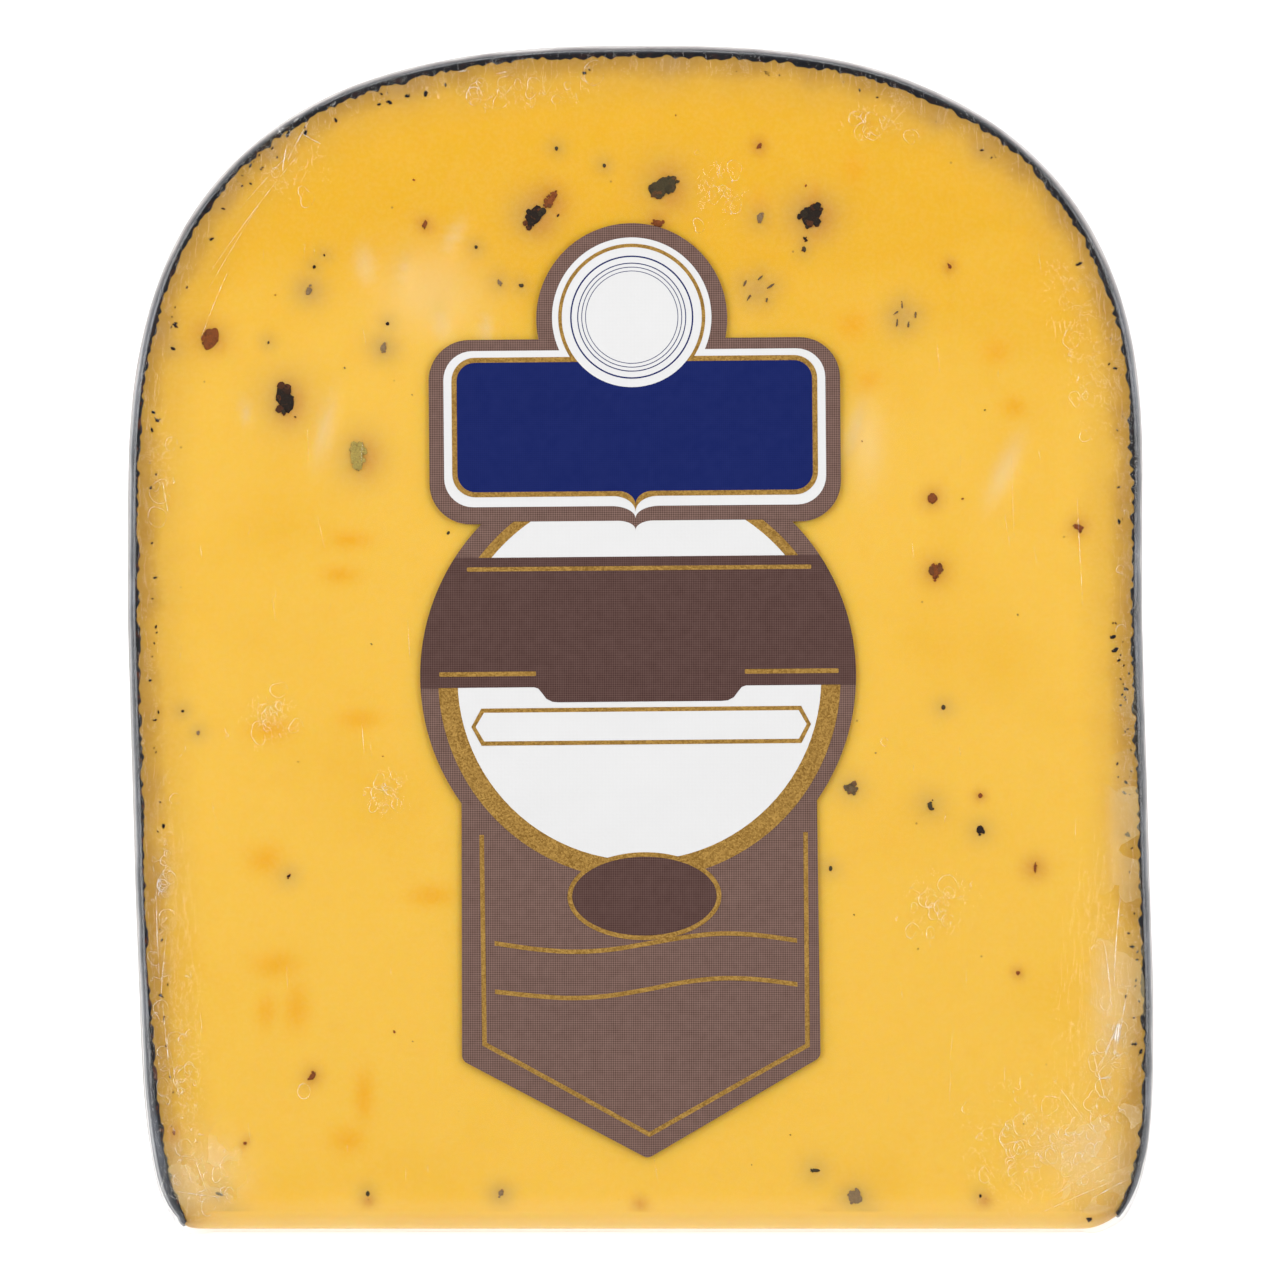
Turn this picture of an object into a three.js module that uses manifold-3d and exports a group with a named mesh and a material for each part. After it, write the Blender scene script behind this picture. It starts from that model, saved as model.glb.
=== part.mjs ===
// A retail portion of black-coated truffle gouda: a thin sector cut from a round wheel, packed in a
// tight clear shrink film with a die-cut paper label on its upper cut face.
// Millimetres, +Z up. The portion lies on its lower cut face. X runs across the wheel from one flat
// face to the other, +Y runs from the wheel's centre out to its rim.
// The wheel is drawn once as a profile and turned about its axis. A sector prism then cuts the portion
// from it, so paste, coating and film are the same two shapes at different offsets.

import * as THREE from "three";
import { mergeVertices } from "three/addons/utils/BufferGeometryUtils.js";
import Module from "manifold-3d";

const wasm = await Module();
wasm.setup();

// ---- Driving dimensions ----

const WHEEL_RADIUS = 128; // from the wheel's axis to the crown of its rim, over the coating
const WHEEL_WIDTH = 98.8; // between the wheel's two flat faces, over the coating
const SHOULDER_DEPTH = 44; // how far in from the crown the rim's curve meets the flat faces
const SHOULDER_FULLNESS = 2.65; // exponent of the rim's curve, where 2 would be an ellipse
const PORTION_ANGLE = THREE.MathUtils.degToRad(12.8); // between the two cut faces
const NOSE_RADIUS = 1.6; // the blunt edge where the two cut faces meet
const CORNER_WIDTH = 6; // the soft corner between nose and flat face, across the wheel
const CORNER_LENGTH = 14; // the same corner, along the flat face
const CORNER_FULLNESS = 2.6; // exponent of that corner's curve

const COATING_THICKNESS = 1.0; // black plastic coat on rim and flat faces
const FILM_THICKNESS = 0.25;
const LABEL_THICKNESS = 0.25;
const FIT_GAP = 0.3; // kept between pieces that touch
const SEAM_LENGTH = 72; // where the film's two edges meet, along the underside
const SEAM_GAP = 0.6;

// ---- Sizes worked out from them ----

const COATING_INSIDE = -COATING_THICKNESS;
const PASTE_OUTSIDE = COATING_INSIDE - FIT_GAP;
const FILM_INSIDE = FIT_GAP;
const FILM_OUTSIDE = FILM_INSIDE + FILM_THICKNESS;
const LABEL_UNDERSIDE = FILM_OUTSIDE + FIT_GAP;
const NOSE_CENTRE = NOSE_RADIUS / Math.sin(PORTION_ANGLE / 2); // from the wheel's axis
const NOSE_FRONT = NOSE_CENTRE - NOSE_RADIUS;
const PROFILE_FLOOR = NOSE_FRONT * 0.6; // the wheel's profile stops inside the nose
const SECTOR_REACH = WHEEL_RADIUS + 20; // the cutting prism ends outside the rim

const WHEEL_STEPS = 150; // facets round the whole wheel
const RIM_STEPS = 22;
const CORNER_STEPS = 5;
const NOSE_STEPS = 8;
const LABEL_STEPS = 24;
const LUMP_DETAIL = 2;

// ---- Materials ----

const pasteMaterial = new THREE.MeshStandardMaterial({ color: 0xf0bd45, roughness: 0.55, metalness: 0 });
const truffleMaterial = new THREE.MeshStandardMaterial({ color: 0x35241c, roughness: 0.8, metalness: 0 });
const coatingMaterial = new THREE.MeshStandardMaterial({ color: 0x1c2028, roughness: 0.35, metalness: 0 });
const filmMaterial = new THREE.MeshStandardMaterial({
  color: 0xffffff,
  roughness: 0.12,
  metalness: 0,
  transparent: true,
  opacity: 0.15,
});
const labelMaterial = new THREE.MeshStandardMaterial({ color: 0x6e5a55, roughness: 0.45, metalness: 0 });

// ---- Solids and booleans ----

function toSolid(geometry) {
  const bare = geometry.clone();
  bare.deleteAttribute("normal");
  bare.deleteAttribute("uv");
  const merged = mergeVertices(bare, 1e-4);
  return new wasm.Manifold(
    new wasm.Mesh({
      numProp: 3,
      vertProperties: Float32Array.from(merged.attributes.position.array),
      triVerts: Uint32Array.from(merged.index.array),
    }),
  );
}

function toGeometry(solid) {
  const { vertProperties, triVerts } = solid.getMesh();
  const geometry = new THREE.BufferGeometry();
  geometry.setAttribute("position", new THREE.BufferAttribute(Float32Array.from(vertProperties), 3));
  geometry.setIndex(new THREE.BufferAttribute(Uint32Array.from(triVerts), 1));
  geometry.computeVertexNormals();
  return geometry;
}

function namedMesh(name, solid, material) {
  const mesh = new THREE.Mesh(toGeometry(solid), material);
  mesh.name = name;
  return mesh;
}

// ---- The wheel ----

// How much a superellipse has fallen away from its crown, as a share of its height.
function fallAway(share, fullness) {
  return 1 - (1 - share ** fullness) ** (1 / fullness);
}

// One side of the wheel's profile as (radius, width) points from the nose to the crown, moved outwards
// by spread. Radius is measured from the wheel's axis, width from the wheel's middle.
function halfProfile(spread) {
  const halfWidth = WHEEL_WIDTH / 2 + spread;
  const crown = WHEEL_RADIUS + spread;
  const cornerFoot = NOSE_FRONT - spread;
  const points = [[PROFILE_FLOOR, halfWidth - CORNER_WIDTH]];
  for (let i = 0; i <= CORNER_STEPS; i += 1) {
    const across = Math.sin((i / CORNER_STEPS) * (Math.PI / 2));
    const width = halfWidth - CORNER_WIDTH * (1 - across);
    points.push([cornerFoot + CORNER_LENGTH * fallAway(across, CORNER_FULLNESS), width]);
  }
  for (let i = 0; i <= RIM_STEPS; i += 1) {
    const across = Math.cos((i / RIM_STEPS) * (Math.PI / 2));
    points.push([crown - SHOULDER_DEPTH * fallAway(across, SHOULDER_FULLNESS), halfWidth * across]);
  }
  return points;
}

// The whole wheel as a ring about X, from inside the nose out to the rim.
function wheel(spread) {
  const half = halfProfile(spread);
  const left = half.map(([radius, width]) => new THREE.Vector2(radius, -width));
  const right = half
    .slice(0, -1)
    .reverse()
    .map(([radius, width]) => new THREE.Vector2(radius, width));
  const ring = new THREE.LatheGeometry([...left, ...right, left[0].clone()], WHEEL_STEPS);
  ring.rotateZ(-Math.PI / 2);
  return toSolid(ring);
}

// ---- The sector that the knife cuts ----

// A prism along X with its two faces on the cut planes and a round nose, moved outwards by spread.
function sectorPrism(spread) {
  const nose = NOSE_RADIUS + spread;
  const centreY = NOSE_CENTRE * Math.cos(PORTION_ANGLE / 2);
  const upperTangent = PORTION_ANGLE + Math.PI / 2;
  const outline = new THREE.Shape();
  outline.moveTo(SECTOR_REACH, -spread);
  outline.lineTo(
    SECTOR_REACH * Math.cos(PORTION_ANGLE) - spread * Math.sin(PORTION_ANGLE),
    SECTOR_REACH * Math.sin(PORTION_ANGLE) + spread * Math.cos(PORTION_ANGLE),
  );
  outline.absarc(centreY, NOSE_RADIUS, nose, upperTangent, (3 * Math.PI) / 2, false);
  const length = WHEEL_WIDTH + 20;
  const prism = new THREE.ExtrudeGeometry(outline, {
    depth: length,
    bevelEnabled: false,
    curveSegments: NOSE_STEPS,
  });
  prism.translate(0, 0, -length / 2);
  const shapeToWheel = new THREE.Matrix4().makeBasis(
    new THREE.Vector3(0, 1, 0),
    new THREE.Vector3(0, 0, 1),
    new THREE.Vector3(1, 0, 0),
  );
  prism.applyMatrix4(shapeToWheel);
  return toSolid(prism);
}

function portion(spread) {
  return wheel(spread).intersect(sectorPrism(spread));
}

// ---- Truffle pieces ----

// The larger shavings that the knife cut through, on the upper cut face. side is across the wheel and
// out is from its axis along the face, to the piece's middle. turn is the long side's angle from out.
const TRUFFLE_PIECES = [
  { side: -34.7, out: 94.5, length: 3.3, width: 1.8, turn: 8 },
  { side: -10.2, out: 113, length: 3.0, width: 1.7, turn: -35 },
  { side: 2.6, out: 115.5, length: 2.9, width: 2.4, turn: 80 },
  { side: 17.0, out: 113, length: 2.9, width: 2.5, turn: 60 },
  { side: -42.0, out: 101, length: 2.3, width: 1.5, turn: 20 },
  { side: -27.4, out: 89.5, length: 3.0, width: 1.7, turn: 15 },
  { side: 29.2, out: 77.5, length: 1.9, width: 1.4, turn: -10 },
  { side: 20.9, out: 56, length: 1.8, width: 1.5, turn: 70 },
];
const TRUFFLE_SINK = 0.3; // how deep a piece's middle lies under the cut face, in widths
const TRUFFLE_ROUGHNESS = 0.16; // how far its skin wanders, as a share of its size

// An uneven lump: a ball stretched to length and width, with three waves laid over its radius.
function truffleLump({ side, out, length, width, turn }, index, margin) {
  const lump = new THREE.IcosahedronGeometry(1, LUMP_DETAIL);
  const position = lump.attributes.position;
  const point = new THREE.Vector3();
  for (let i = 0; i < position.count; i += 1) {
    point.fromBufferAttribute(position, i);
    const wave =
      Math.sin(3.1 * point.x + index) +
      Math.sin(4.3 * point.y - 2 * index) +
      Math.sin(3.7 * point.z + 3 * index);
    point.multiplyScalar(1 + (TRUFFLE_ROUGHNESS * wave) / 3);
    position.setXYZ(i, point.x, point.y, point.z);
  }
  lump.scale(width / 2 + margin, length / 2 + margin, width / 2 + margin);
  lump.rotateZ(THREE.MathUtils.degToRad(turn));
  lump.translate(side, out, -TRUFFLE_SINK * width);
  lump.rotateX(PORTION_ANGLE);
  return toSolid(lump);
}

// ---- The label ----

// One die-cut sheet: a round seal on top, a name plate, a large disc and a pennant that ends in a point.
// Heights, named out, are along the cut face from the wheel's axis.
const LABEL = {
  seal: { out: 101.4, radius: 9.4 },
  plate: { bottomOut: 81.5, topOut: 99.6, halfWidth: 20.2, corner: 4 },
  disc: { out: 66.5, radius: 21.4 },
  pennant: { shoulderOut: 28.6, tipOut: 19.2, halfWidth: 17.4 },
};

function labelOutline({ seal, plate, disc, pennant }) {
  const pennantMeetsDisc = Math.acos(pennant.halfWidth / disc.radius);
  const discMeetsPlate = Math.asin((plate.bottomOut - disc.out) / disc.radius);
  const plateMeetsSeal = Math.asin((plate.topOut - seal.out) / seal.radius);
  const cornerX = plate.halfWidth - plate.corner;
  const lowCorner = plate.bottomOut + plate.corner;
  const highCorner = plate.topOut - plate.corner;
  const outline = new THREE.Shape();
  outline.moveTo(0, pennant.tipOut);
  outline.lineTo(pennant.halfWidth, pennant.shoulderOut);
  outline.absarc(0, disc.out, disc.radius, -pennantMeetsDisc, discMeetsPlate, false);
  outline.absarc(cornerX, lowCorner, plate.corner, -Math.PI / 2, 0, false);
  outline.absarc(cornerX, highCorner, plate.corner, 0, Math.PI / 2, false);
  outline.absarc(0, seal.out, seal.radius, plateMeetsSeal, Math.PI - plateMeetsSeal, false);
  outline.absarc(-cornerX, highCorner, plate.corner, Math.PI / 2, Math.PI, false);
  outline.absarc(-cornerX, lowCorner, plate.corner, Math.PI, 1.5 * Math.PI, false);
  outline.absarc(0, disc.out, disc.radius, Math.PI - discMeetsPlate, Math.PI + pennantMeetsDisc, false);
  outline.lineTo(-pennant.halfWidth, pennant.shoulderOut);
  return outline;
}

function labelSolid() {
  const sheet = new THREE.ExtrudeGeometry(labelOutline(LABEL), {
    depth: LABEL_THICKNESS,
    bevelEnabled: false,
    curveSegments: LABEL_STEPS,
  });
  return toSolid(sheet);
}

// ---- Assembly ----

const paste = TRUFFLE_PIECES.reduce(
  (solid, piece, index) => solid.subtract(truffleLump(piece, index, FIT_GAP)),
  wheel(PASTE_OUTSIDE).intersect(sectorPrism(0)),
);

const coating = wheel(0).subtract(wheel(COATING_INSIDE)).intersect(sectorPrism(0));

// The film is a tube round the whole portion whose edges meet in a seam along the underside.
function filmSolid() {
  const seam = new THREE.BoxGeometry(SEAM_GAP, SEAM_LENGTH, 4 * FILM_OUTSIDE);
  seam.translate(0, (NOSE_FRONT + WHEEL_RADIUS) / 2, -FILM_OUTSIDE);
  return portion(FILM_OUTSIDE).subtract(portion(FILM_INSIDE)).subtract(toSolid(seam));
}

const packedPortion = new THREE.Group();
packedPortion.add(namedMesh("cheese_paste", paste, pasteMaterial));
packedPortion.add(namedMesh("rind_coating", coating, coatingMaterial));
TRUFFLE_PIECES.forEach((piece, index) => {
  const cutFlush = truffleLump(piece, index, 0).intersect(sectorPrism(0));
  packedPortion.add(namedMesh(`truffle_piece_${index + 1}`, cutFlush, truffleMaterial));
});
packedPortion.add(namedMesh("shrink_film", filmSolid(), filmMaterial));

// The label lies on the film over the upper cut face, so its group is tilted with that face.
const upperFace = new THREE.Group();
upperFace.rotation.x = PORTION_ANGLE;
const label = namedMesh("front_label", labelSolid(), labelMaterial);
label.position.z = LABEL_UNDERSIDE;
upperFace.add(label);
packedPortion.add(upperFace);

// The origin is under the middle of the packed portion, on the surface that it lies on.
const extent = new THREE.Box3().setFromObject(packedPortion, true);
const middle = extent.getCenter(new THREE.Vector3());
packedPortion.position.set(-middle.x, -middle.y, -extent.min.z);

export default packedPortion;
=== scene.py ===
# %% [markdown]
# # A wedge of truffle cheese in clear film
#
# The object is one retail portion of a round wheel of cheese: yellow paste with truffle
# shavings in it, a black coating on what was the outside of the wheel, a clear shrink film
# round everything, and a die-cut paper label on top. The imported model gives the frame, and
# every piece made here takes its place from that frame, so the look can be rich while the size
# stays what it is.

# %% Load the frame
import math

import bpy
import numpy as np
from mathutils import Matrix, Vector


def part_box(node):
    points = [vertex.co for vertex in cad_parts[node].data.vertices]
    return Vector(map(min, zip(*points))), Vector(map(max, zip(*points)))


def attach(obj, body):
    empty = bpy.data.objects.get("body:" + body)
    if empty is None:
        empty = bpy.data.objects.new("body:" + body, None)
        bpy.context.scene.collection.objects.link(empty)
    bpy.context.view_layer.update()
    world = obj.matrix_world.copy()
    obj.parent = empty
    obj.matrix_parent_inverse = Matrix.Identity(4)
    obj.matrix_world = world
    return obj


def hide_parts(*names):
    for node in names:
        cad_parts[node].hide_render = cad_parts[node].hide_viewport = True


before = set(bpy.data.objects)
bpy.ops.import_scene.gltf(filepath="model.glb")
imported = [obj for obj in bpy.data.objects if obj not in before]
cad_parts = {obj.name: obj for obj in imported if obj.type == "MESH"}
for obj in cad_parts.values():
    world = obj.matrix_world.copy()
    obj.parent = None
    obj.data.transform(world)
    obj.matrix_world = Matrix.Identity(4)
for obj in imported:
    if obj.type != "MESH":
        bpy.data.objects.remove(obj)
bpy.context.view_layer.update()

# %% [markdown]
# ## Where things are
#
# A wedge is easiest to describe from the axis of the wheel that it was cut from. A point has a
# side (across the wheel, along X), an out (its distance from the axis) and an angle between the
# lower cut face, at 0, and the upper one. Writing positions that way makes the two cut faces,
# the rim and the flat sides simple formulas. Lengths are in millimetres until the mesh is made.

# %% The wheel's measures and three ways to place a point
MM = 0.001
WHEEL_RADIUS = 128.0
HALF_WIDTH = 49.4
SHOULDER = 44.0
CUT_ANGLE = math.radians(12.8)
NOSE_OUT = 12.15

coat_low, coat_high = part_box("rind_coating")
AXIS_Y = coat_high.y / MM - WHEEL_RADIUS
AXIS_Z = coat_low.z / MM


def in_wheel(side, out, angle):
    """Turned about the axis: y is out times cos(angle), z is out times sin(angle)."""
    return np.stack(
        [side, AXIS_Y + out * np.cos(angle), AXIS_Z + out * np.sin(angle)], axis=-1
    )


def on_upper(side, out, height):
    """On the upper cut face: out along the face, then height straight up from it."""
    cos, sin = math.cos(CUT_ANGLE), math.sin(CUT_ANGLE)
    return np.stack(
        [side, AXIS_Y + out * cos - height * sin, AXIS_Z + out * sin + height * cos],
        axis=-1,
    )


def on_lower(side, out, depth):
    """On the lower cut face, which lies flat: depth goes straight down from it."""
    return np.stack([side + 0 * out, AXIS_Y + out, AXIS_Z - depth + 0 * out], axis=-1)


print("axis of the wheel, mm:", round(AXIS_Y, 2), round(AXIS_Z, 2))

# %% [markdown]
# ## Smooth chance
#
# Hand-cut and hand-packed things are never quite even. Two small helpers give that unevenness
# without loose randomness: one wanders along a line, the other makes soft hills over a face.
# Both are seeded, so the same wedge comes out every time.


# %% Seeded unevenness
def wander(along, period, seed, sharp=False):
    """A random value from -1 to 1 every period along a line, joined by soft or straight steps."""
    values = np.random.default_rng(seed).uniform(-1, 1, 4096)
    place = along / period
    start = np.floor(place).astype(int)
    part = place - start
    if not sharp:
        part = part * part * (3 - 2 * part)
    return values[start % 4096] * (1 - part) + values[(start + 1) % 4096] * part


def hills(side, out, period, seed):
    """A random value at each corner of a square net, mixed softly inside each square."""
    net = np.random.default_rng(seed).uniform(-1, 1, (128, 128))
    i, j = np.floor(side / period).astype(int), np.floor(out / period).astype(int)
    u, v = side / period - i, out / period - j
    u, v = u * u * (3 - 2 * u), v * v * (3 - 2 * v)
    low = net[i % 128, j % 128] * (1 - u) + net[(i + 1) % 128, j % 128] * u
    high = net[i % 128, (j + 1) % 128] * (1 - u) + net[(i + 1) % 128, (j + 1) % 128] * u
    return low * (1 - v) + high * v


def step_between(value, low, high):
    """0 below low, 1 above high, and a soft step between them."""
    part = np.clip((value - low) / (high - low), 0, 1)
    return part * part * (3 - 2 * part)


# %% [markdown]
# ## The outline of the wedge
#
# Seen square on to its cut face, the wedge is the wheel's cross-section: a straight blunt nose,
# two soft corners, two long flat sides and a domed rim. Superellipses give the rim and the
# corners their full, squarish curve. The outline is drawn once, spaced evenly, and every layer
# (paste, coating, film) is this same line moved in or out along its normal. A real wheel sags
# as it ripens, so the middle of the outline drifts a little sideways on the way down.

# %% The outline and its normals
CORNER_WIDE, CORNER_LONG = 5.7, 18
CORNER_POWER, RIM_POWER = 2 / 2.5, 2 / 2.65
NARROWER_LOW_DOWN = 0.006
MIDDLE_OUT = [12.0, 13.4, 20.0, 35.0, 46.0, 55.0, 72.0, 84.0, 100.0, 124.0, 128.5]
MIDDLE_SIDE = [0.10, 1.05, 1.10, 0.85, 0.45, 0.20, -0.30, -0.28, -0.10, -0.05, 0.75]


def half_outline():
    """From the middle of the nose, along the corner and the side, over the rim to the crown."""
    turn = np.linspace(0, math.pi / 2, 500)
    corner_side = HALF_WIDTH - CORNER_WIDE + CORNER_WIDE * np.sin(turn) ** CORNER_POWER
    corner_out = NOSE_OUT + CORNER_LONG - CORNER_LONG * np.cos(turn) ** CORNER_POWER
    rim_side = HALF_WIDTH * np.cos(turn) ** RIM_POWER
    rim_out = WHEEL_RADIUS - SHOULDER + SHOULDER * np.sin(turn) ** RIM_POWER
    side = np.concatenate([[0.0], corner_side, rim_side])
    out = np.concatenate([[NOSE_OUT], corner_out, rim_out])
    return side, out


def even_outline(count):
    """The closed outline, anticlockwise from the nose: evenly spaced points and unit normals."""
    side, out = half_outline()
    side = np.concatenate([side, -side[::-1]])
    out = np.concatenate([out, out[::-1]])
    length = np.concatenate([[0], np.cumsum(np.hypot(np.diff(side), np.diff(out)))])
    walk = np.linspace(0, length[-1], count, endpoint=False)
    side, out = np.interp(walk, length, side), np.interp(walk, length, out)
    side = side * (1 - NARROWER_LOW_DOWN * (1 - step_between(out, 18, 40)))
    side = side + np.interp(out, MIDDLE_OUT, MIDDLE_SIDE)
    along_side = np.roll(side, -2) - np.roll(side, 2)
    along_out = np.roll(out, -2) - np.roll(out, 2)
    size = np.hypot(along_side, along_out)
    return {
        "side": side,
        "out": out,
        "normal_side": along_out / size,
        "normal_out": -along_side / size,
        "walk": walk,
        "length": length[-1],
    }


outline = even_outline(720)
print("outline length, mm:", round(outline["length"], 1))

# %% [markdown]
# The coating covers the rim and the flat sides but not the nose, because the nose was the
# middle of the wheel. One weight says how coated each point of the outline is, and the distance
# from the coated line is what later shades the paste beside the rind.


# %% Where the outline is coated
def coated_share(line):
    """1 on the rim and sides, falling to 0 as the normal turns down towards the nose."""
    facing_nose = step_between(-line["normal_out"], 0.55, 0.86)
    return 1 - facing_nose * (line["out"] < 40)


def eased(values, reach):
    """A moving average round the closed outline, so that no layer folds where the coat ends."""
    window = np.ones(2 * reach + 1) / (2 * reach + 1)
    return np.convolve(np.concatenate([values[-reach:], values, values[:reach]]), window, "valid")


def distance_to_rind(side, out):
    """The distance from each point to the nearest coated point of the outline."""
    line = even_outline(900)
    coated = coated_share(line) > 0.5
    rind_side, rind_out = line["side"][coated], line["out"][coated]
    flat_side, flat_out = side.ravel(), out.ravel()
    nearest = np.full(flat_side.shape, 1e9)
    for start in range(0, len(flat_side), 8000):
        part = slice(start, start + 8000)
        gap = np.hypot(
            flat_side[part, None] - rind_side, flat_out[part, None] - rind_out
        )
        nearest[part] = gap.min(1)
    return nearest.reshape(side.shape)


print("coated share of the outline:", round(float(coated_share(outline).mean()), 3))

# %% [markdown]
# ## Putting surfaces into meshes
#
# Every layer is either a stack of closed rings with a pole at each end, or a closed profile
# carried along an open path with a cap at each end. Two helpers turn those arrays into meshes,
# and a third makes the object, keeps it at the origin and hangs it on the frame.


# %% Grid to mesh
def ring_faces(rows, around):
    """Quads between neighbouring rings; ring points run anticlockwise and rings run outwards."""
    row, column = np.meshgrid(np.arange(rows - 1), np.arange(around), indexing="ij")
    beside = (column + 1) % around
    a, b = row * around + column, (row + 1) * around + column
    c, d = (row + 1) * around + beside, row * around + beside
    return np.stack([a, b, c, d], -1).reshape(-1, 4)


def stacked_rings(rings, first_pole, last_pole):
    """Rings of shape (rows, around, 3) closed by a fan to a pole at both ends."""
    rows, around, _ = rings.shape
    points = np.concatenate([rings.reshape(-1, 3), [first_pole, last_pole]])
    here, beside = np.arange(around), (np.arange(around) + 1) % around
    top, bottom = rows * around, rows * around + 1
    last = (rows - 1) * around
    fan_top = np.stack([np.full(around, top), here, beside], -1)
    fan_bottom = np.stack([np.full(around, bottom), last + beside, last + here], -1)
    faces = ring_faces(rows, around).tolist() + fan_top.tolist() + fan_bottom.tolist()
    return points, faces


def carried_profile(sections):
    """Closed sections of shape (steps, profile, 3), joined along the path and capped."""
    steps, around, _ = sections.shape
    points = np.concatenate(
        [sections.reshape(-1, 3), [sections[0].mean(0), sections[-1].mean(0)]]
    )
    here, beside = np.arange(around), (np.arange(around) + 1) % around
    first, last = steps * around, steps * around + 1
    end = (steps - 1) * around
    fan_first = np.stack([np.full(around, first), here, beside], -1)
    fan_last = np.stack([np.full(around, last), end + beside, end + here], -1)
    faces = ring_faces(steps, around).tolist() + fan_first.tolist() + fan_last.tolist()
    return points, faces


def joined(parts):
    """Many (points, faces) pairs as one: each pair's faces count on from the points before it."""
    points = np.concatenate([made for made, _ in parts])
    firsts = np.cumsum([0] + [len(made) for made, _ in parts]).tolist()
    faces = [
        [index + first for index in face]
        for first, (_, own_faces) in zip(firsts, parts)
        for face in own_faces
    ]
    return points, faces


def make_piece(name, points, faces, slot, values=None, smooth=True):
    """A mesh object in metres at the origin, with per-point values that its material can read."""
    mesh = bpy.data.meshes.new(name)
    mesh.from_pydata((np.asarray(points) * MM).tolist(), [], faces)
    mesh.polygons.foreach_set("use_smooth", np.full(len(mesh.polygons), smooth))
    for key, value in (values or {}).items():
        value = np.asarray(value, np.float32)
        kind = "FLOAT_COLOR" if value.ndim == 2 else "FLOAT"
        layer = mesh.attributes.new(key, kind, "POINT")
        layer.data.foreach_set("color" if value.ndim == 2 else "value", value.ravel())
    mesh.update()
    piece = bpy.data.objects.new(name, mesh)
    bpy.context.scene.collection.objects.link(piece)
    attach(piece, "root")
    triangles = sum(len(p.vertices) - 2 for p in mesh.polygons)
    print(name, "triangles:", triangles)
    return piece


# %% [markdown]
# ## Truffle, first as a list
#
# The shavings decide several things at once: lumps in the paste, a stain round each, and a soft
# cover where one lies just under the surface. So they are listed before the paste is made.
# Eight of the large ones stand for the frame's truffle pieces and lie within 1.5 mm of them.
# The list says side, out, length, width and turn from the outward direction in degrees, then a
# kind: black, red, moss, grey, or sunk and buried for those that show pale through a skin of
# paste.

# %% The large shavings
LARGE_SHAVINGS = [
    (-34.7, 93.5, 3.3, 1.8, 8, "black"),
    (-10.2, 111.5, 2.3, 1.5, -30, "black"),
    (-8.6, 113.2, 2.0, 0.9, -35, "red"),
    (2.6, 114.6, 2.9, 1.9, -52, "moss"),
    (17.0, 111.7, 2.7, 2.0, -52, "black"),
    (-42.0, 99.7, 2.2, 1.3, -18, "red"),
    (-27.4, 88.1, 2.9, 1.4, 8, "sunk"),
    (28.9, 83.9, 1.2, 1.0, -10, "red"),
    (29.2, 76.7, 1.7, 1.1, -10, "red"),
    (20.9, 55.4, 1.3, 1.2, 70, "grey"),
]

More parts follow.
